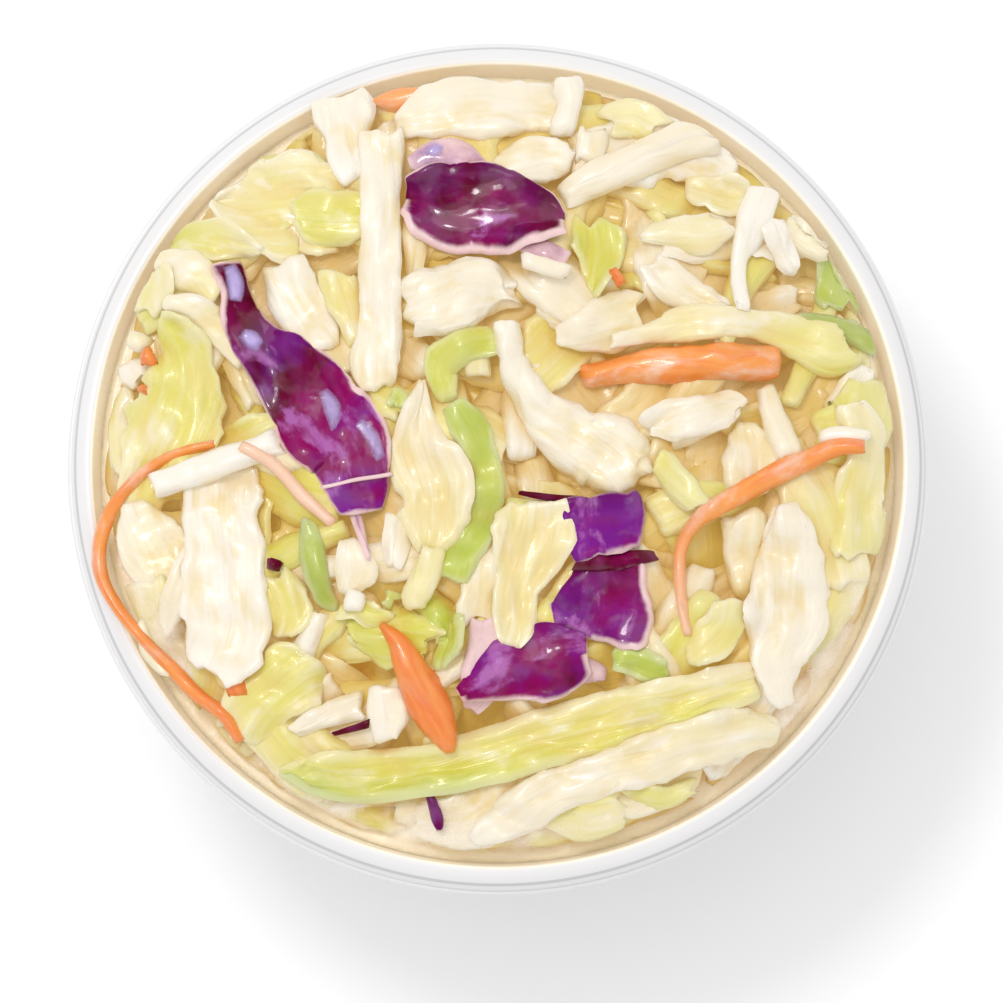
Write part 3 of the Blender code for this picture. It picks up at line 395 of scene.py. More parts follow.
class SaladColours(bpy.types.PropertyGroup):
    plastic: colour("Plastic", "The cup", (0.76, 0.75, 0.75))
    # Painted shade in the crease round the lip.
    lip_crease_shade: colour("Lip line", "The thin line round the lip", (0.3, 0.3, 0.31))
    rib: colour("Rib", "White ribs of cabbage", linear(250, 243, 230))
    cream: colour("Cream", "Cabbage next to the ribs", linear(244, 228, 192))
    yellow: colour("Yellow", "Inner leaves", linear(236, 220, 126))
    lime: colour("Lime", "Leaves near their margins", linear(220, 212, 80))
    green: colour("Green", "Green margins", linear(182, 196, 54))
    dark_green: colour("Dark green", "The darkest leaves", linear(134, 150, 34))
    sheer: colour("Sheer", "Cabbage where it is thin enough to see into", linear(237, 212, 146))
    # Painted light and shade between the shreds, for the deep places of the heap and their painted glow.
    painted_gap_light: colour("Hollow", "Light between the shreds", linear(232, 190, 96))
    dressing: colour("Dressing", "Creamy dressing", linear(250, 241, 228))
    maroon: colour("Maroon", "Deep red cabbage", linear(88, 0, 28))
    violet: colour("Violet", "Violet red cabbage", linear(134, 2, 84))
    indigo: colour("Indigo", "The bluest red cabbage", (0.17, 0.012, 0.27))
    # Lilac stands for dressing over red cabbage and for a painted sheen on it, and also tints its pale veins.
    lilac: colour("Lilac", "Dressing over red cabbage", linear(178, 108, 178))
    milk: colour("Milk", "Drops of dressing on red cabbage", linear(178, 158, 212))
    pink: colour("Pink", "Cut edges of red cabbage", linear(232, 200, 200))
    carrot: colour("Carrot", "Carrot", linear(252, 162, 72))
    deep_carrot: colour("Deep carrot", "The core of the carrot", linear(240, 118, 40))
    # On the inner wall the film colour is partly smeared dressing and partly painted bounce light from the food; it
    # also colours the wall's painted glow and the core at the wall.
    film: colour("Film", "Dressing on the cup's inner wall", linear(248, 242, 228))
    floor: colour("Floor", "The floor", (0.93, 0.93, 0.93))


class StageSizes(bpy.types.PropertyGroup):
    elevation: FloatProperty(
        name="Elevation", description="Camera's angle over the horizon", default=math.radians(82), subtype="ANGLE",
    )
    distance: size("Distance", "Camera's distance", 0.7)
    view_width: size("View width", "Width that the camera sees at the rim", 113 * MM)
    key_power: FloatProperty(name="Key", description="Power of the large soft light in watts", default=1.7, min=0)
    glint_power: FloatProperty(name="Glint", description="Power of the smaller light in watts", default=1.7, min=0)
    sky: FloatProperty(name="Sky", description="Strength of the white surroundings", default=0.89, min=0)


def arc(centre, radii, start, end, steps):
    """Points along part of an ellipse, with its angles in degrees."""
    angles = np.radians(np.linspace(start, end, steps + 1))
    return [(centre[0] + radii[0] * math.cos(a), centre[1] + radii[1] * math.sin(a)) for a in angles]


def inner_radius(cup, height):
    """The radius of the cup's inner wall at a height, as a number or an array."""
    depth = cup.height - np.minimum(height, cup.height)
    past_ledge = np.clip((depth - LEDGE_DEPTH) / LEDGE_SLOPE, 0, 1)
    return cup.flange - MOUTH_INSET - depth * math.tan(WALL_TAPER) - LEDGE_WIDTH * past_ledge


def upper_section(cup):
    """The side of the cup that faces up and in, from the flange's edge to the middle of the floor."""
    crease = cup.height - LIP_DROP
    corner = MOUTH_INSET - SHOULDER_INSET
    shoulder = cup.flange - SHOULDER_INSET
    floor = PANEL_HEIGHT + WALL
    edge = cup.flange - EDGE_ROUND
    points = arc((edge, crease - WALL + EDGE_ROUND), (EDGE_ROUND, EDGE_ROUND), -90, 0, 3)
    points += arc((edge, crease - EDGE_ROUND), (EDGE_ROUND, EDGE_ROUND), 0, 90, 3)
    points += arc((shoulder, crease), (SHOULDER_INSET - LIP_INSET, LIP_DROP), 0, 90, 16)
    points += arc((shoulder, cup.height - corner), (corner, corner), 90, 180, 6)[1:]
    for depth in np.linspace(corner, LEDGE_DEPTH, 6)[1:]:
        points.append((float(inner_radius(cup, cup.height - depth)), cup.height - depth))
    low = cup.height - LEDGE_DEPTH - LEDGE_SLOPE
    points.append((float(inner_radius(cup, low)), low))
    fillet = float(inner_radius(cup, floor + FLOOR_FILLET)) - FLOOR_FILLET
    points += arc((fillet, floor + FLOOR_FILLET), (FLOOR_FILLET, FLOOR_FILLET), 0, -90, 6)
    points.append((0, floor))
    return points


def lower_section(cup):
    """The side of the cup that faces down and out, from the middle of its base to under the lip."""
    crease = cup.height - LIP_DROP
    shoulder = cup.flange - SHOULDER_INSET
    foot_outer = float(inner_radius(cup, FOOT_ROUND)) + WALL - FOOT_ROUND
    points = [(0, PANEL_HEIGHT), (FOOT_INNER_RADIUS - WALL, PANEL_HEIGHT)]
    points += [(FOOT_INNER_RADIUS - WALL / 2, PANEL_HEIGHT - WALL / 4), (FOOT_INNER_RADIUS, EDGE_ROUND)]
    points += [(FOOT_INNER_RADIUS + EDGE_ROUND, 0)]
    points += arc((foot_outer, FOOT_ROUND), (FOOT_ROUND, FOOT_ROUND), -90, 0, 8)
    for depth in (LEDGE_DEPTH + LEDGE_SLOPE, LEDGE_DEPTH):
        points.append((float(inner_radius(cup, cup.height - depth)) + WALL, cup.height - depth))
    roll = (SHOULDER_INSET - LIP_INSET - WALL, LIP_DROP - WALL)
    points.append((cup.flange - MOUTH_INSET + WALL, cup.height - 2 * WALL))
    points += arc((shoulder, crease), roll, LIP_UNDERSIDE_ANGLE, 0, 5)
    points.append((shoulder + roll[0], crease - WALL))
    return points


def turned(section, steps):
    """A closed solid turned about Z from a closed section of (radius, height)."""
    bm = bmesh.new()
    verts = [bm.verts.new((radius, 0, height)) for radius, height in section]
    pairs = [pair for pair in zip(verts, verts[1:] + verts[:1]) if pair[0].co.x or pair[1].co.x]
    edges = [bm.edges.new(pair) for pair in pairs]
    bmesh.ops.spin(
        bm, geom=verts + edges, axis=(0, 0, 1), cent=(0, 0, 0),
        angle=2 * math.pi, steps=steps, use_merge=True,
    )
    bmesh.ops.remove_doubles(bm, verts=bm.verts[:], dist=MERGE)
    bmesh.ops.dissolve_degenerate(bm, edges=bm.edges[:], dist=MERGE)
    bmesh.ops.recalc_face_normals(bm, faces=bm.faces[:])
    return bm


def link_piece(name, bm, material, sharp=None):
    """A finished piece of the object, at the origin."""
    mesh = bpy.data.meshes.new(name)
    bm.to_mesh(mesh)
    bm.free()
    mesh.materials.append(material)
    mesh.shade_smooth()
    if sharp is not None:
        mesh.set_sharp_from_angle(angle=sharp)
    piece = bpy.data.objects.new(name, mesh)
    bpy.context.scene.collection.objects.link(piece)
    return piece


def waves(draw, x, y, count, length):
    """A smooth uneven height about 1 high, from a few random waves."""
    height = 0 * x
    for _ in range(count):
        turn, phase = draw.uniform(0, 2 * math.pi, 2)
        stretch = length * draw.uniform(0.8, 1.5)
        height = height + np.sin(2 * math.pi * (x * math.cos(turn) + y * math.sin(turn)) / stretch + phase)
    return height / math.sqrt(count)


def core_height(sizes, cup, x, y):
    """The top of the core: a dome that falls away to the wall, with bumps."""
    radius = np.hypot(x, y) / CORE_EDGE_RADIUS
    bumps = BUMP_HEIGHT * waves(np.random.default_rng(sizes.seed), x, y, BUMP_WAVES, BUMP_LENGTH)
    return cup.height + sizes.rise - sizes.fall * radius**DOME_POWER + bumps


def bed_height(sizes, cup, x, y):
    """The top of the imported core, which leaves room for the shreds over it and is level at the wall."""
    share = np.clip(np.hypot(x, y) / CORE_EDGE_RADIUS, 0, 1) ** LEVEL_POWER
    dome = core_height(sizes, cup, x, y) - CORE_DROP * (1 - share)
    return np.maximum(dome, cup.height - BRIM_DEPTH)


class Bed:
    """The height of what lies in the cup, measured on a square grid as the shreds are laid."""

    def __init__(self, sizes, cup):
        cells = np.arange(-BED_REACH, BED_REACH + BED_CELL, BED_CELL)
        x, y = np.meshgrid(cells, cells, indexing="ij")
        self.heights = bed_height(sizes, cup, x, y)

    def cells(self, x, y):
        last = len(self.heights) - 1
        column = np.clip(np.rint((x + BED_REACH) / BED_CELL).astype(int), 0, last)
        row = np.clip(np.rint((y + BED_REACH) / BED_CELL).astype(int), 0, last)
        return column, row

    def under(self, x, y):
        return self.heights[self.cells(x, y)]

    def cover(self, x, y, top):
        places = self.cells(finer(x), finer(y))
        np.maximum.at(self.heights, places, finer(top))

    def smoothed(self):
        """The bed's heights evened out over the reach of light, the level from which the cabbage's painted shade and
        highlight are measured.
        """
        count = round(DEPTH_REACH / BED_CELL)
        window = np.ones(2 * count + 1) / (2 * count + 1)
        even = self.heights
        for axis in (0, 1):
            padded = np.pad(even, [(count, count) if a == axis else (0, 0) for a in (0, 1)], mode="edge")
            even = np.apply_along_axis(np.convolve, axis, padded, window, mode="valid")
        return even


def finer(grid, times=3):
    """A grid read at more steps, in straight lines between its own."""
    for axis in (0, 1):
        last = grid.shape[axis] - 1
        at = np.linspace(0, last, times * last + 1)
        low = np.minimum(at.astype(int), last - 1)
        part = (at - low)[:, None] if axis == 0 else at - low
        grid = grid.take(low, axis) * (1 - part) + grid.take(low + 1, axis) * part
    return grid


def route(knots, shares):
    """A smooth route through knots of (x, y, width), read at shares of its length from 0 to 1."""
    spans = np.hypot(*np.diff(knots[:, :2], axis=0).T)
    reached = np.concatenate([[0], np.cumsum(spans)])
    slopes = np.gradient(knots, reached, axis=0)
    wanted = shares * reached[-1]
    first = np.clip(np.searchsorted(reached, wanted) - 1, 0, len(spans) - 1)
    span = spans[first][:, None]
    t = (wanted - reached[first])[:, None] / span
    start = (1 + 2 * t) * (1 - t) ** 2 * knots[first] + t * (1 - t) ** 2 * span * slopes[first]
    end = t**2 * (3 - 2 * t) * knots[first + 1] - t**2 * (1 - t) * span * slopes[first + 1]
    return start + end


def crowded(steps, power):
    """Even steps from -1 to 1, drawn towards both ends."""
    even = np.linspace(-1, 1, steps + 1)
    return np.sign(even) * (1 - (1 - np.abs(even)) ** power)


def relaxed(low, step):
    """A sheet laid on heights: it bridges hollows and never goes below them."""
    height = low.copy()
    for _ in range(round((REST_REACH / step) ** 2)):
        padded = np.pad(height, 1, mode="edge")
        beside = padded[:-2, 1:-1] + padded[2:, 1:-1] + padded[1:-1, :-2] + padded[1:-1, 2:]
        height = np.maximum(beside / 4, low)
    return height


def inside_wall(cup, x, y, height):
    """Presses the outermost places together, so that they stay clear of the wall in their order."""
    radius = np.hypot(x, y)
    free = inner_radius(cup, height) - SHRED_GAP - WALL_BAND
    past = np.maximum(radius - free, 0) / WALL_BAND
    kept = np.minimum(radius, free) + WALL_BAND * (1 - np.exp(-past))
    return x * kept / radius, y * kept / radius


def clear_of_cup(cup, points, over_rim):
    """Draws points in from the wall, but for those that lie over the rim."""
    radius = np.hypot(points[..., 0], points[..., 1])
    limit = inner_radius(cup, points[..., 2]) - WALL_CLEARANCE
    share = np.minimum(1, limit / np.maximum(radius, MM))
    if over_rim:
        share = np.where(points[..., 2] > cup.height, 1, share)
    return points * np.stack([share, share, np.ones_like(share)], axis=-1)


def cuts(draw, distance, step):
    """Uneven straight cuts: values from -1 to 1 joined by straight lines."""
    knots = np.arange(float(distance.min()) - step, float(distance.max()) + 2 * step, step)
    knots = knots + draw.uniform(-CUT_SHIFT, CUT_SHIFT, len(knots)) * step
    return np.interp(distance, knots, draw.uniform(-1, 1, len(knots)))


def creases(draw, distance, offset, spacing):
    """Sharp ridges that run mostly along a shred, about 1 high."""
    height = 0 * offset
    slenderness = np.abs(offset).max() / distance.max()
    for share in CREASE_SHARES:
        slant = draw.normal(0, CREASE_SLANT) * slenderness
        bend = draw.uniform(0.1, 0.3) * spacing * np.sin(distance / spacing * draw.uniform(0.4, 1.1))
        line = (offset + slant * distance + bend) / (spacing * draw.uniform(0.5, 1.3)) + draw.uniform()
        height = height + share * (1 - 1.6 * np.abs(np.sin(math.pi * line)))
    return height


def outline(draw, knots, kind, length, step):
    """The places of a shred's grid as seen, with how far each is from the sides and the ends."""
    along = max(FEWEST_STEPS, 2 * round(length / step / 2))
    across = max(FEWEST_STEPS, 2 * round(knots[:, 2].max() / step / 2))
    reach = crowded(along, CROWDING)[:, None]
    side = crowded(across, CROWDING)
    line = route(knots, (reach[:, 0] + 1) / 2)
    ahead = np.gradient(line[:, :2], axis=0)
    ahead /= np.hypot(*ahead.T)[:, None]
    distance = (reach + 1) / 2 * length
    to_end = (1 - np.abs(reach)) / 2 * length
    half = np.maximum(line[:, 2:], LEAST_WIDTH) / 2
    left, right = (cuts(draw, distance, LONG_CUTS) + 0.5 * cuts(draw, distance, SHORT_CUTS) for _ in range(2))
    half = half * (1 + kind.ragged * np.where(side < 0, left, right))
    half = half * (1 - END_TAPER * np.exp(-END_TAPER_RATE * to_end / half))
    nibble = kind.ragged * NIBBLE_DEPTH * cuts(draw, half * side, NIBBLES)
    slide = nibble * np.exp(-to_end / MM) * np.sign(reach)
    x = line[:, :1] - ahead[:, 1:] * half * side + ahead[:, :1] * slide
    y = line[:, 1:2] + ahead[:, :1] * half * side + ahead[:, 1:] * slide
    return x, y, half * (1 - np.abs(side)), to_end + 0 * x, distance + 0 * x, half * side


def rounded(distance, round_off):
    """How full a sheet is at a distance from its edge, which is rounded off."""
    near = 1 - np.clip(distance / round_off, 0, 1)
    return np.sqrt(np.maximum(1 - near**2, LEAST_FULL))


def normals(points):
    """The upward normals of a grid of points."""
    along = np.gradient(points, axis=0)
    across = np.gradient(points, axis=1)
    facing = np.cross(along, across)
    facing[..., 2] = np.abs(facing[..., 2]) + LEAST_AREA
    return facing / np.linalg.norm(facing, axis=-1, keepdims=True)


Laid = namedtuple("Laid", "kind upper lower run leafy edge ridge")


def lay(bed, piece, sizes, cup, stage, draw):
    """Lays one shred on the bed, and gives its two faces and what its colour depends on."""
    kind = KINDS[piece.kind]._replace(**{k: v for k, v in piece.options.items() if k in Kind._fields})
    knots = np.array(piece.stations, float) * MM
    length = np.hypot(*np.diff(knots[:, :2], axis=0).T).sum()
    over_rim = piece.options.get("over_rim", False)
    step = {"filler": FILLER_STEP, "drop": DROP_STEP}.get(piece.name.split("_")[0], STEP)
    x, y, to_side, to_end, distance, offset = outline(draw, knots, kind, length, step)
    height = core_height(sizes, cup, x, y) + SHRED_TOP
    y = y - (height - cup.height + LIP_DROP) / math.tan(stage.elevation)
    if not over_rim:
        x, y = inside_wall(cup, x, y, height)
    thick = kind.thick * MM
    full = rounded(np.minimum(to_side, to_end), EDGE_ROUNDING * thick)
    if piece.kind == "dressing":
        full = np.sqrt(rounded(to_side, knots[:, 2].max() / 2) * rounded(to_end, length / 3))
    low = bed.under(x, y)
    if over_rim:
        rim = np.where(np.hypot(x, y) > RIM_REACH, cup.height + RIM_CLEARANCE + SINK + RIM_SPARE, 0)
        low = np.maximum(low, rim)
    height = relaxed(low, step) - SINK
    share = offset / np.maximum(np.abs(offset[:, :1]), MM)
    crown = kind.crown * draw.choice(CURLS) if kind.crown > 0 else kind.crown
    height = height + np.where(crown > 0, 1 - share**2, share**2) * abs(crown) * MM
    wave_length = WAVE_LENGTH * draw.uniform(0.8, 1.4)
    sway = np.sin(2 * math.pi * distance / wave_length + draw.uniform(0, WAVE_STARTS) + 2 * share)
    height = height + (kind.wave * sway + draw.normal(0, TWIST * abs(kind.crown)) * np.sign(share)) * MM * share**2
    rise = normals(np.stack([x, y, height], axis=-1)) * (full * thick)[..., None]
    ridge = creases(draw, distance, offset, kind.spacing * MM)
    crumple = kind.crumple * MM * waves(draw, distance, offset, CRUMPLE_WAVES, CRUMPLE_LENGTH)
    height = height + crumple + kind.crease * MM * ridge
    under = np.stack([x, y, height], axis=-1)
    upper = clear_of_cup(cup, under + rise, over_rim)
    lower = clear_of_cup(cup, under, over_rim)
    if piece.kind != "dressing":
        bed.cover(upper[..., 0], upper[..., 1], upper[..., 2])
    ends = piece.leafy if isinstance(piece.leafy, tuple) else (piece.leafy, piece.leafy)
    leafy = ends[0] + (ends[1] - ends[0]) * distance / length + piece.options.get("across", 0) * share
    pale_side = piece.options.get("pale_side", 0)
    border = np.where(share * pale_side < 0, UNCUT_BORDER, piece.options.get("rim", CUT_BORDER)) * MM
    if piece.kind == "dressing":
        border = knots[:, 2].max() / 3
    edge = kind.edge * np.clip(1 - np.minimum(to_side, to_end) / border, piece.options.get("pale", 0), 1)
    run = np.stack([distance, offset, 0 * distance], axis=-1)
    return Laid(piece.kind, upper, lower, run, leafy, edge, np.clip(0.5 + ridge / 2, 0, 1))


def plain_shred(name, draw, middle, heading, length, width):
    """A plain, slightly bent shred of cabbage."""
    along = np.array([math.cos(heading), math.sin(heading)]) * length / 2
    bend = np.array([-along[1], along[0]]) / np.hypot(*along) * draw.uniform(-FILLER_BEND, FILLER_BEND)
    kind = "leaf" if draw.uniform() < LEAF_SHARE else "white"
    first, last = FILLER_ENDS
    middles = (middle - along, width * first), (middle + bend, width), (middle + along, width * last)
    stations = [(*(at * min(1, (MOST_REACH - wide / 2) / np.hypot(*at))), wide) for at, wide in middles]
    return shred(name, kind, float(draw.uniform(*FILLER_LEAFY)), *stations)


def filler_shreds(sizes, draw):
    """Plain shreds along the wall and then in all directions, spread evenly under the others."""
    for index in range(sizes.edging):
        turn = 2 * math.pi * (index + draw.uniform()) / sizes.edging
        middle = draw.uniform(*EDGE_REACH) * np.array([math.cos(turn), math.sin(turn)])
        heading = turn + math.pi / 2 + draw.normal(0, EDGE_SPREAD)
        length, width = draw.uniform(*EDGE_LENGTH), draw.uniform(*EDGE_WIDTH)
        yield plain_shred(f"filler_edge_{index}", draw, middle, heading, length, width)
    golden_turn = math.pi * (3 - math.sqrt(5))
    for index in range(sizes.fillers):
        reach = FILLER_REACH * math.sqrt((index + 0.5) / sizes.fillers)
        middle = reach * np.array([math.cos(index * golden_turn), math.sin(index * golden_turn)])
        heading = draw.uniform(0, math.pi)
        length, width = draw.uniform(*FILLER_LENGTH), draw.uniform(*FILLER_WIDTH)
        yield plain_shred(f"filler_{index}", draw, middle, heading, length, width)


@functools.cache
def laid_heap():
    """Every shred of the heap where it lies, by name, the bed, and the bed evened out, from which the painted shade
    between the shreds is read.
    """
    scene = bpy.context.scene
    sizes, cup, stage = scene.heap_sizes, scene.cup_sizes, scene.stage_sizes
    draw = np.random.default_rng(sizes.seed)
    bed = Bed(sizes, cup)
    fillers = list(filler_shreds(sizes, draw))
    laid = {piece.name: lay(bed, piece, sizes, cup, stage, draw) for piece in (*fillers, *SHREDS)}
    return laid, bed, bed.smoothed()


@functools.cache
def blank(along, across):
    """A closed flat sheet, and for each of its points the step along it, the step across it and its face."""
    bm = bmesh.new()
    bmesh.ops.create_grid(bm, x_segments=along, y_segments=across, size=0.5)
    bmesh.ops.translate(bm, verts=bm.verts[:], vec=(0.5, 0.5, 0))
    raised = bmesh.ops.duplicate(bm, geom=bm.faces[:])["geom"]
    bmesh.ops.translate(bm, verts=[v for v in raised if isinstance(v, bmesh.types.BMVert)], vec=(0, 0, 1))
    bmesh.ops.bridge_loops(bm, edges=[edge for edge in bm.edges if edge.is_boundary])
    bmesh.ops.recalc_face_normals(bm, faces=bm.faces[:])
    mesh = bpy.data.meshes.new("blank")
    bm.to_mesh(mesh)
    bm.free()
    places = np.empty(len(mesh.vertices) * 3)
    mesh.vertices.foreach_get("co", places)
    steps = np.rint(places.reshape(-1, 3) * (along, across, 1)).astype(int)
    return mesh, tuple(steps.T)


def on_both(upper, lower, steps):
    """Values of a sheet's two faces, in the order of a blank's points."""
    row, column, face = steps
    mask = (face == 1).reshape(-1, *[1] * (upper.ndim - 2))
    return np.where(mask, upper[row, column], lower[row, column])


def joined_shreds(name, chosen, material):
    """One piece made of the chosen shreds, with what their colour depends on as attributes."""
    bed, even = laid_heap()[1:]
    bm = bmesh.new()
    runs, looks = [], []
    for laid in chosen:
        mesh, steps = blank(*(count - 1 for count in laid.leafy.shape))
        points = on_both(laid.upper, laid.lower, steps)
        mesh.vertices.foreach_set("co", points.ravel())
        bm.from_mesh(mesh)
        # How far each point lies under the evened-out bed; it sets the painted highlight, shade and glow of the
        # cabbage.
        deep = 0.5 + (even[bed.cells(points[:, 0], points[:, 1])] - points[:, 2]) / DEPTH_SPAN
        leafy = on_both(laid.leafy, laid.leafy, steps)
        edge = on_both(laid.edge, laid.edge, steps)
        ridge = on_both(laid.ridge, laid.ridge, steps)
        looks.append(np.stack([leafy, edge, np.clip(deep, 0, 1), ridge], axis=-1))
        runs.append(on_both(laid.run, laid.run, steps))
    piece = link_piece(name, bm, material)
    look = piece.data.attributes.new("look", "FLOAT_COLOR", "POINT")
    look.data.foreach_set("color", np.concatenate(looks).ravel())
    run = piece.data.attributes.new("run", "FLOAT_VECTOR", "POINT")
    run.data.foreach_set("vector", np.concatenate(runs).ravel())
    return piece


class Wire:
    """A value in a shader, with arithmetic that adds the nodes for it."""

    def __init__(self, graph, socket):
        self.graph = graph
        self.socket = socket

    def math(self, operation, *values):
        return self.graph.add("ShaderNodeMath", {"operation": operation}, dict(enumerate(values)))

    def root(self):
        return self.math("SQRT", self)

    def size(self):
        """The value without its sign."""
        return self.math("ABSOLUTE", self)

    def __add__(self, other):
        return self.math("ADD", self, other)

    def __sub__(self, other):
        return self.math("SUBTRACT", self, other)

    def __rsub__(self, other):
        return self.math("SUBTRACT", other, self)

    def __mul__(self, other):
        return self.math("MULTIPLY", self, other)

    __radd__ = __add__
    __rmul__ = __mul__

    def step(self, low, high):
        """0 under low, 1 over high and smooth between."""
        return self.graph.add(
            "ShaderNodeMapRange", {"interpolation_type": "SMOOTHSTEP"},
            {"Value": self, "From Min": low, "From Max": high},
        )

    def top(self, other):
        return self.math("MAXIMUM", self, other)


class Graph:
    """A material's nodes."""

    def __init__(self, name, rough, **fixed):
        self.material = bpy.data.materials.new(name)
        self.material.use_nodes = True
        self.tree = self.material.node_tree
        self.shader = self.tree.nodes["Principled BSDF"]
        self.set("Roughness", rough)
        for socket, value in fixed.items():
            self.set(socket.replace("_", " "), value)

    def set(self, socket, value):
        self.feed(value, self.shader.inputs[socket])

    def feed(self, value, socket):
        if isinstance(value, Wire):
            self.tree.links.new(value.socket, socket)
        elif socket.type == "RGBA" and len(value) == 3:
            socket.default_value = (*value, 1)
        else:
            socket.default_value = value

    def add(self, kind, settings=None, sockets=None, output=0):
        """A node of any type, as the wire of one of its outputs."""
        node = self.tree.nodes.new(kind)
        for key, value in (settings or {}).items():
            if key == "stops":
                self.set_stops(node.color_ramp, value)
            else:
                setattr(node, key, value)
        for key, value in (sockets or {}).items():
            self.feed(value, node.inputs[key])
        return Wire(self, node.outputs[output])

    @staticmethod
    def set_stops(ramp, stops):
        for _ in stops[2:]:
            ramp.elements.new(0.5)
        for element, (place, shade) in zip(ramp.elements, stops):
            element.position = place
            element.color = (*shade, 1)

    def place(self):
        return self.add("ShaderNodeTexCoord", output=3)

    def attribute(self, name, output=1):
        return self.add("ShaderNodeAttribute", {"attribute_name": name}, output=output)

    def split(self, colour_wire):
        node = self.add("ShaderNodeSeparateColor", None, {0: colour_wire}).socket.node
        return [Wire(self, output) for output in node.outputs]

    def stretched(self, run, share):
        """Places along and across a shred, drawn out along it."""
        return self.add("ShaderNodeVectorMath", {"operation": "MULTIPLY"}, {0: run, 1: (share, 1.0, 1.0)})

    def looks(self):
        """Leafy, edge and deep, as every shred carries them."""
        return self.split(self.attribute("look", output=0))

    def noise(self, vector, scale, detail=2.0, rough=0.5):
        return self.add(
            "ShaderNodeTexNoise", None, {"Vector": vector, "Scale": scale, "Detail": detail, "Roughness": rough}
        )

    def cells(self, vector, scale):
        """Distance to the edges of uneven cells."""
        return self.add("ShaderNodeTexVoronoi", {"feature": "DISTANCE_TO_EDGE"}, {"Vector": vector, "Scale": scale})

    def mix(self, factor, first, second):
        return self.add("ShaderNodeMix", {"data_type": "RGBA"}, {0: factor, 6: first, 7: second}, output=2)

    def ramp(self, factor, *stops):
        return self.add("ShaderNodeValToRGB", {"stops": stops}, {0: factor})

    def bump(self, height, distance, strength=1.0):
        return self.add("ShaderNodeBump", None, {"Height": height, "Distance": distance, "Strength": strength})


def cabbage_material(colours):
    """Wet cabbage: white ribs to green margins, fibres, thin patches, a film of dressing, painted highlight, shade
    and glow.
    """
    # Emission Strength sets the painted glow below.
    graph = Graph("cabbage", 0.4, Coat_Roughness=0.08, Emission_Strength=0.17)
    place = graph.place()
    run = graph.attribute("run")
    leafy, edge, deep = graph.looks()
    ridge = graph.attribute("look", output=3)
    patches = graph.noise(place, 110, 2)
    leafy = leafy + (patches - 0.5) * 0.3
    shade = graph.ramp(
        leafy, (0.0, colours.rib), (0.2, colours.cream), (0.42, colours.yellow),
        (0.62, colours.lime), (0.82, colours.green), (1.0, colours.dark_green),
    )
    white = 1 - leafy.step(0.3, 0.8) * 0.8
    fibres = graph.noise(graph.stretched(run, 0.1), 1100, 2)
    grain = graph.add(
        "ShaderNodeVectorMath", {"operation": "MULTIPLY_ADD"},
        {0: place, 1: (0.35,) * 3, 2: graph.stretched(run, 0.45)},
    )
    # On the white parts, fibres and the crests of the creases are whiter.
    shade = graph.mix(((fibres - 0.5) * 1.4 + ridge.step(0.5, 1.0) * 0.25) * white, shade, colours.rib)
    # Points above the evened-out bed are whitened, a painted highlight on the raised parts; sheer patches are fewer
    # there.
    high = 1 - deep.step(0.05, 0.6)
    shade = graph.mix(high * white * 0.35, shade, colours.rib)
    sheer = (graph.noise(grain, 260, 2, 0.6) + (0.5 - fibres) * 0.4).step(0.44, 0.66) * (1.1 - high)
    shade = graph.mix(sheer * 0.6 * white, shade, colours.sheer)
    film = graph.noise(grain, 210, 3, 0.65).step(0.54, 0.72) * white
    film = film.top(edge * 0.8)
    shade = graph.mix(film * 0.6, shade, colours.dressing)
    # Points below the evened-out bed take the warm gap colour: painted shade between the shreds.
    shade = graph.mix(deep.step(0.5, 1.1) * 0.75, shade, colours.painted_gap_light)
    # The base colour is darkened by a quarter and the cabbage glows faintly in its own colour, more in the gap
    # colour where deep: painted light standing in for light scattered through the heap.
    graph.set("Base Color", graph.mix(0.25, shade, BLACK))
    graph.set("Emission Color", graph.mix(deep.step(0.5, 1.0) * 0.6, shade, colours.painted_gap_light))
    graph.set("Coat Weight", 0.35 + film * 0.6)
    graph.set("Roughness", 0.42 - film * 0.12)
    pits = graph.noise(place, 400, 2, 0.6)
    relief = fibres * 1.2 + pits * 1.2
    graph.set("Normal", graph.bump(relief, 0.22 * MM, 0.9))
    return graph.material


def red_cabbage_material(colours):
    """Glossy red cabbage: maroon to violet and indigo, with pale veins, lilac patches of dressing and painted sheen,
    and pinkish cut edges.
    """
    graph = Graph("red_cabbage", 0.25, Specular_IOR_Level=0.06, Coat_Roughness=0.1)
    place = graph.place()
    run = graph.attribute("run")
    leafy, edge = graph.looks()[:2]
    patches = graph.noise(place, 140, 4, 0.65)
    shade = graph.mix((leafy + (patches - 0.5) * 3.0).step(0.0, 1.0), colours.maroon, colours.violet)
    blue = graph.noise(place, 95, 3, 0.6).step(0.42, 0.62) * leafy.step(0.1, 0.7)
    shade = graph.mix(blue * 0.8, shade, colours.indigo)
    fibres = graph.noise(graph.stretched(run, 0.12), 900, 3)
    veins = 1 - graph.cells(graph.stretched(run, 0.4), 190).step(0.0, 0.1)
    shade = graph.mix(veins * 0.07, shade, colours.lilac)
    # Lilac patches along the shred: partly dressing over the red cabbage and partly painted sheen where it would
    # catch the light.
    milky = graph.noise(graph.stretched(run, 0.7), 210, 4, 0.62)
    film = (milky + (fibres - 0.5) * 0.3 + (leafy - 0.5) * 0.12).step(0.56, 0.7)
    shade = graph.mix(film * 0.75, shade, colours.lilac)
    border = (edge + (patches - 0.5) * 0.9).step(0.15, 0.75)
    shade = graph.mix(border, shade, colours.pink)
    graph.set("Base Color", shade)
    wet = graph.noise(place, 180, 3, 0.6).step(0.46, 0.6)
    graph.set("Coat Weight", wet)
    graph.set("Roughness", 0.34 + film * 0.1)
    relief = veins * 0.5 + fibres * 0.5 + graph.noise(place, 600, 3) * 0.8 + film * 0.6
    graph.set("Normal", graph.bump(relief, 0.2 * MM, 0.9))
    return graph.material


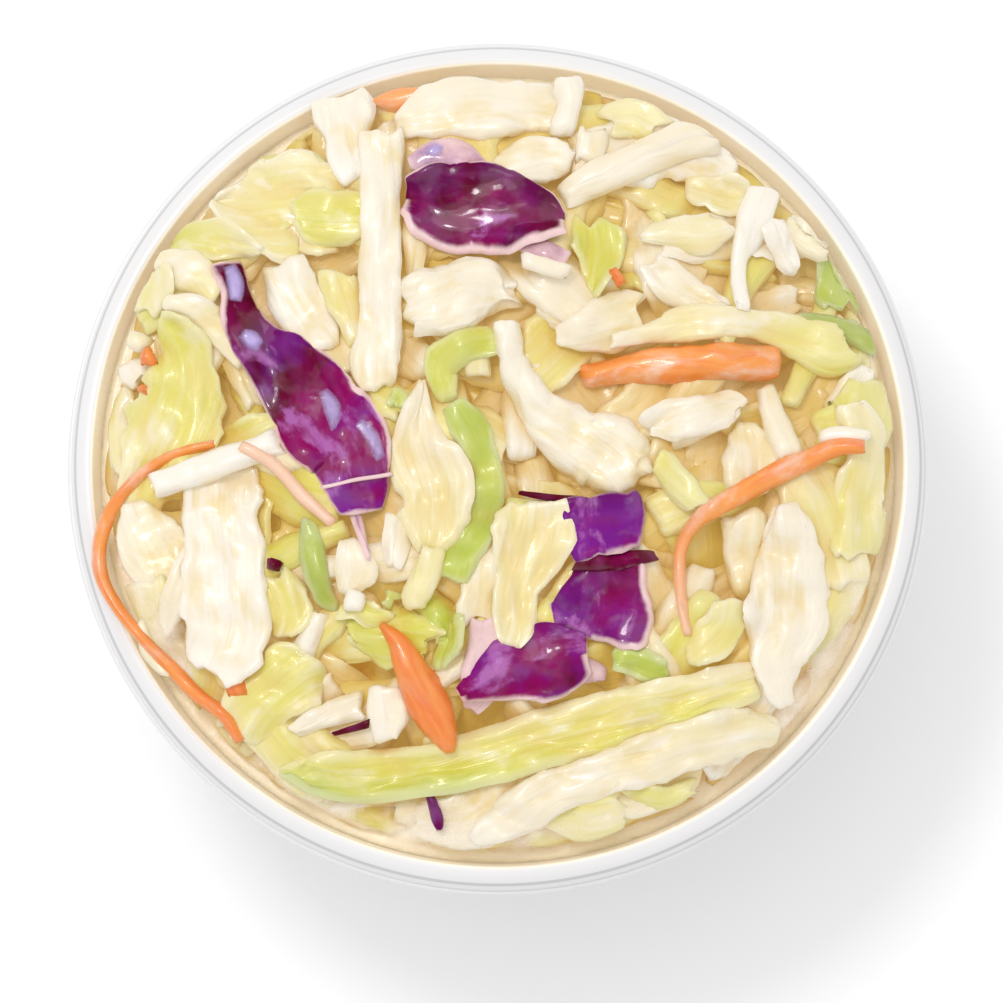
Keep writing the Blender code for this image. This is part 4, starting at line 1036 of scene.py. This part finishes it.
def carrot_material(colours):
    """Wet carrot: orange with long fibres, a deeper core, milky smears and a painted glow."""
    graph = Graph("carrot", 0.3, Coat_Roughness=0.08, Emission_Strength=0.1)
    place = graph.place()
    run = graph.attribute("run")
    leafy, edge = graph.looks()[:2]
    fibres = graph.noise(graph.stretched(run, 0.1), 1300, 3)
    orange = (leafy + (fibres - 0.5) * 1.4).step(0.0, 1.0)
    shade = graph.mix(orange, colours.carrot, colours.deep_carrot)
    smears = graph.noise(graph.stretched(run, 0.45), 380, 4, 0.65).step(0.44, 0.74)
    pale = (smears * (0.7 - leafy.step(0.3, 0.6) * 0.6)).top((1 - leafy * 3).step(0.2, 1.0) * 0.8)
    shade = graph.mix(pale * 0.7, shade, colours.dressing)
    shade = graph.mix(edge * 0.5, shade, colours.deep_carrot)
    # The base colour is darkened and the carrot glows in its own colour: painted light standing in for light
    # scattered inside it.
    graph.set("Base Color", graph.mix(0.2, shade, BLACK))
    graph.set("Emission Color", shade)
    graph.set("Coat Weight", 0.4 + smears * 0.3)
    graph.set("Roughness", 0.38 - smears * 0.1)
    relief = fibres * 0.7 + graph.noise(place, 800, 2) * 0.4 + smears * 0.6
    graph.set("Normal", graph.bump(relief, 0.12 * MM, 0.7))
    return graph.material


def dressing_material(colours):
    """Creamy dressing, or a milky drop of it, thin enough to see through at its edges, with a faint painted glow."""
    graph = Graph("dressing", 0.14, Coat_Weight=0.3, Coat_Roughness=0.06, Emission_Strength=0.05)
    leafy, edge = graph.looks()[:2]
    shade = graph.mix(leafy.step(0.4, 0.6), colours.dressing, colours.milk)
    graph.set("Base Color", shade)
    # A faint painted glow in its own colour.
    graph.set("Emission Color", shade)
    uneven = graph.noise(graph.place(), 260, 3, 0.6)
    graph.set("Alpha", (1 - edge * 0.95) * (leafy * 0.5 + 0.25 + (uneven - 0.5) * 1.2))
    return graph.material


def core_material(colours):
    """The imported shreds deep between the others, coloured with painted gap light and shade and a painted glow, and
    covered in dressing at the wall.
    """
    graph = Graph("packed_core", 0.35, Coat_Weight=0.4, Coat_Roughness=0.1, Emission_Strength=0.15)
    place = graph.place()
    x, y, z = graph.split(place)
    near_wall = (x * x + y * y).root().step(CORE_EDGE_RADIUS - 3 * MM, CORE_EDGE_RADIUS)
    patches = graph.noise(place, 220, 4, 0.6)
    # The core's colour runs in uneven patches from painted gap light and shade to yellow and cream cabbage.
    shade = graph.ramp(
        patches, (0.3, tuple(0.8 * c for c in colours.painted_gap_light)), (0.42, colours.painted_gap_light),
        (0.52, colours.yellow), (0.65, colours.cream),
    )
    shade = graph.mix(near_wall * 0.85, shade, colours.film)
    graph.set("Base Color", shade)
    # A painted glow in the gap colour, weaker at the wall.
    graph.set("Emission Color", graph.mix(near_wall * 0.45, colours.painted_gap_light, BLACK))
    graph.set("Normal", graph.bump(graph.noise(place, 420, 3), 0.5 * MM, 0.8))
    return graph.material


def plastic_material(colours, cup):
    """White moulded plastic, softly glossy, with painted shade in the crease round the lip, and inside dressing
    smears mixed with painted bounce light and a painted glow.
    """
    # Emission Strength sets the painted glow of the inner wall.
    graph = Graph("white_plastic", 0.3, IOR=1.5, Emission_Strength=0.145)
    place = graph.place()
    mottle = graph.noise(place, 90, 3)
    shade = colours.plastic
    shade = graph.mix(mottle.step(0.3, 0.8) * 0.12, shade, tuple(0.93 * c for c in shade))
    x, y, z = graph.split(place)
    radius = (x * x + y * y).root()
    reach = radius + (cup.height - z) * math.tan(WALL_TAPER)
    above = z.step(cup.height - LEDGE_DEPTH - LEDGE_SLOPE, cup.height - LEDGE_DEPTH)
    past = reach - (cup.flange - MOUTH_INSET - LEDGE_WIDTH) - above * LEDGE_WIDTH
    inside = (1 - past.step(0.2 * WALL, 0.6 * WALL)) * z.step(PANEL_HEIGHT, PANEL_HEIGHT + WALL)
    # The warm film colour on the inner wall is partly dressing smeared on it and partly painted warm light bounced
    # from the food.
    smear_and_bounce = (graph.noise(place, 160, 4, 0.6) + 0.35).step(0.4, 0.7)
    shade = graph.mix(inside * smear_and_bounce, shade, colours.film)
    # A thin dark line of painted shade along the crease round the lip.
    off_shade_line = (radius - (cup.flange - SHADE_LINE_INSET)).size()
    line = (1 - off_shade_line.step(SHADE_LINE_WIDTH / 2, SHADE_LINE_WIDTH)) * z.step(cup.height - LIP_DROP, cup.height - LIP_DROP / 2)
    graph.set("Base Color", graph.mix(line * 0.45, shade, colours.lip_crease_shade))
    # The inner wall glows in the film colour: painted light standing in for light through the plastic.
    graph.set("Emission Color", graph.mix(inside, BLACK, colours.film))
    graph.set("Roughness", 0.26 + mottle * 0.12)
    graph.set("Normal", graph.bump(graph.noise(place, 240, 2), 0.03 * MM, 0.5))
    return graph.material


def floor_material(colours):
    graph = Graph("floor", 0.9)
    grain = graph.noise(graph.place(), 40, 2)
    shade = colours.floor
    graph.set("Base Color", graph.mix(grain * 0.02, shade, tuple(0.97 * c for c in shade)))
    return graph.material


def carry(piece, node):
    """Makes a piece ride with the object and stand for one of its nodes."""
    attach(piece, "root")
    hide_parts(node)


class COLESLAW_OT_cup(bpy.types.Operator):
    """Make the white plastic cup"""

    bl_idname = "coleslaw.cup"
    bl_label = "Cup"

    def execute(self, context):
        cup = context.scene.cup_sizes
        section = upper_section(cup) + lower_section(cup)
        material = plastic_material(context.scene.salad_colours, cup)
        piece = link_piece("plastic_cup", turned(section, CUP_STEPS), material, sharp=SHARP_ANGLE)
        carry(piece, "cup")
        return {"FINISHED"}


class COLESLAW_OT_core(bpy.types.Operator):
    """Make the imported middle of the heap"""

    bl_idname = "coleslaw.core"
    bl_label = "Packed core"

    def execute(self, context):
        scene = context.scene
        sizes, cup = scene.heap_sizes, scene.cup_sizes
        floor = PANEL_HEIGHT + WALL + CORE_GAP
        brim = cup.height - BRIM_DEPTH
        edge = float(inner_radius(cup, brim)) - BRIM_GAP
        section = [(edge * step / CORE_RINGS, brim) for step in range(CORE_RINGS + 1)]
        for height in np.linspace(cup.height - LEDGE_DEPTH - LEDGE_SLOPE, floor + FLOOR_FILLET, CORE_SIDE_STEPS):
            section.append((float(inner_radius(cup, height)) - CORE_GAP, float(height)))
        section.append((float(inner_radius(cup, floor)) - FLOOR_FILLET - CORE_GAP, floor))
        section.append((0, floor))
        bm = turned(section, CORE_STEPS)
        draw = np.random.default_rng(sizes.seed)
        top = [vert for vert in bm.verts if vert.co.z > brim - BRIM_GAP]
        x, y = np.array([vert.co[:2] for vert in top]).T
        calm = 1 - np.clip(np.hypot(x, y) / edge, 0, 1) ** CALM_POWER
        height = bed_height(sizes, cup, x, y) + calm * GRIT_HEIGHT * waves(draw, x, y, GRIT_WAVES, GRIT_LENGTH)
        for vert, z in zip(top, height):
            vert.co.z = z
        carry(link_piece("packed_core", bm, core_material(scene.salad_colours)), "coleslaw")
        return {"FINISHED"}


class ShredStep:
    """What the steps that make shreds share: a material, and each piece's name with the kinds of shreds in it."""

    under = False

    def execute(self, context):
        material = self.make_material(context.scene.salad_colours)
        for name, *kinds in self.pieces:
            chosen = [
                laid for key, laid in laid_heap()[0].items()
                if laid.kind in kinds and key.startswith("filler") == self.under
            ]
            carry(joined_shreds(name, chosen, material), "coleslaw")
        return {"FINISHED"}


class COLESLAW_OT_under_shreds(ShredStep, bpy.types.Operator):
    """Make the plain cabbage shreds that lie under the others"""

    bl_idname = "coleslaw.under_shreds"
    bl_label = "Under shreds"
    make_material = staticmethod(cabbage_material)
    pieces = (("under_shreds", "white", "leaf"),)
    under = True


class COLESLAW_OT_cabbage(ShredStep, bpy.types.Operator):
    """Make the white ribs and the leaves of cabbage that show"""

    bl_idname = "coleslaw.cabbage"
    bl_label = "Cabbage"
    make_material = staticmethod(cabbage_material)
    pieces = (("white_cabbage", "white"), ("leafy_cabbage", "leaf"))


class COLESLAW_OT_red_cabbage(ShredStep, bpy.types.Operator):
    """Make the pieces of red cabbage"""

    bl_idname = "coleslaw.red_cabbage"
    bl_label = "Red cabbage"
    make_material = staticmethod(red_cabbage_material)
    pieces = (("red_cabbage", "red"),)


class COLESLAW_OT_carrot(ShredStep, bpy.types.Operator):
    """Make the shreds of carrot"""

    bl_idname = "coleslaw.carrot"
    bl_label = "Carrot"
    make_material = staticmethod(carrot_material)
    pieces = (("carrot", "carrot"),)


class COLESLAW_OT_dressing(ShredStep, bpy.types.Operator):
    """Make the drops and smears of dressing"""

    bl_idname = "coleslaw.dressing"
    bl_label = "Dressing"
    make_material = staticmethod(dressing_material)
    pieces = (("dressing", "dressing"),)


class COLESLAW_OT_stage(bpy.types.Operator):
    """Make the floor, the light and the camera"""

    bl_idname = "coleslaw.stage"
    bl_label = "Stage"

    floor_size = 3.0
    aim = Vector((0.4, -4.15, 49.4)) * MM
    key_place = Vector((-0.2, 0.2, 1.0))
    key_size = 0.65
    glint_place = Vector((-0.22, 0.22, 0.96))
    glint_size = 0.16

    def execute(self, context):
        stage = context.scene.stage_sizes
        self.make_floor(context.scene)
        self.make_light(context.scene, stage)
        self.make_camera(context.scene, stage)
        context.scene.view_settings.view_transform = "Standard"
        return {"FINISHED"}

    def make_floor(self, scene):
        bm = bmesh.new()
        bmesh.ops.create_grid(bm, x_segments=4, y_segments=4, size=self.floor_size / 2)
        link_piece("floor", bm, floor_material(scene.salad_colours))

    def make_lamp(self, name, power, place, size):
        light = bpy.data.lights.new(name, "AREA")
        light.energy = power
        light.size = size
        lamp = bpy.data.objects.new(name, light)
        lamp.location = place
        lamp.rotation_euler = (-place).to_track_quat("-Z", "Y").to_euler()
        bpy.context.scene.collection.objects.link(lamp)

    def make_light(self, scene, stage):
        self.make_lamp("key", stage.key_power, self.key_place, self.key_size)
        self.make_lamp("glint", stage.glint_power, self.glint_place, self.glint_size)
        world = bpy.data.worlds.new("surroundings")
        world.use_nodes = True
        background = world.node_tree.nodes["Background"]
        background.inputs["Color"].default_value = (1, 1, 1, 1)
        background.inputs["Strength"].default_value = stage.sky
        scene.world = world

    def make_camera(self, scene, stage):
        data = bpy.data.cameras.new("camera")
        data.sensor_width = 36
        data.lens = data.sensor_width * stage.distance / stage.view_width
        camera = bpy.data.objects.new("camera", data)
        back = Vector((0, -math.cos(stage.elevation), math.sin(stage.elevation)))
        camera.location = self.aim + back * stage.distance
        camera.rotation_euler = (-back).to_track_quat("-Z", "Y").to_euler()
        scene.collection.objects.link(camera)
        scene.camera = camera


STEPS = (
    COLESLAW_OT_cup, COLESLAW_OT_core, COLESLAW_OT_under_shreds, COLESLAW_OT_cabbage, COLESLAW_OT_red_cabbage,
    COLESLAW_OT_carrot, COLESLAW_OT_dressing, COLESLAW_OT_stage,
)
SETTINGS = {
    "cup_sizes": CupSizes, "heap_sizes": HeapSizes, "salad_colours": SaladColours, "stage_sizes": StageSizes,
}


class COLESLAW_PT_panel(bpy.types.Panel):
    """Sizes, colours and steps of the coleslaw"""

    bl_label = "Coleslaw"
    bl_space_type = "VIEW_3D"
    bl_region_type = "UI"
    bl_category = "Coleslaw"

    def draw(self, context):
        for name, group in SETTINGS.items():
            box = self.layout.box()
            for setting in group.__annotations__:
                box.prop(getattr(context.scene, name), setting)
        for step in STEPS:
            self.layout.operator(step.bl_idname)


def register():
    for made in (*SETTINGS.values(), *STEPS, COLESLAW_PT_panel):
        bpy.utils.register_class(made)
    for name, group in SETTINGS.items():
        setattr(bpy.types.Scene, name, PointerProperty(type=group))


def unregister():
    for name in SETTINGS:
        delattr(bpy.types.Scene, name)
    for made in reversed((*SETTINGS.values(), *STEPS, COLESLAW_PT_panel)):
        bpy.utils.unregister_class(made)


def main():
    register()
    for step in STEPS:
        group, action = step.bl_idname.split(".")
        getattr(getattr(bpy.ops, group), action)()


if __name__ == "__main__":
    main()
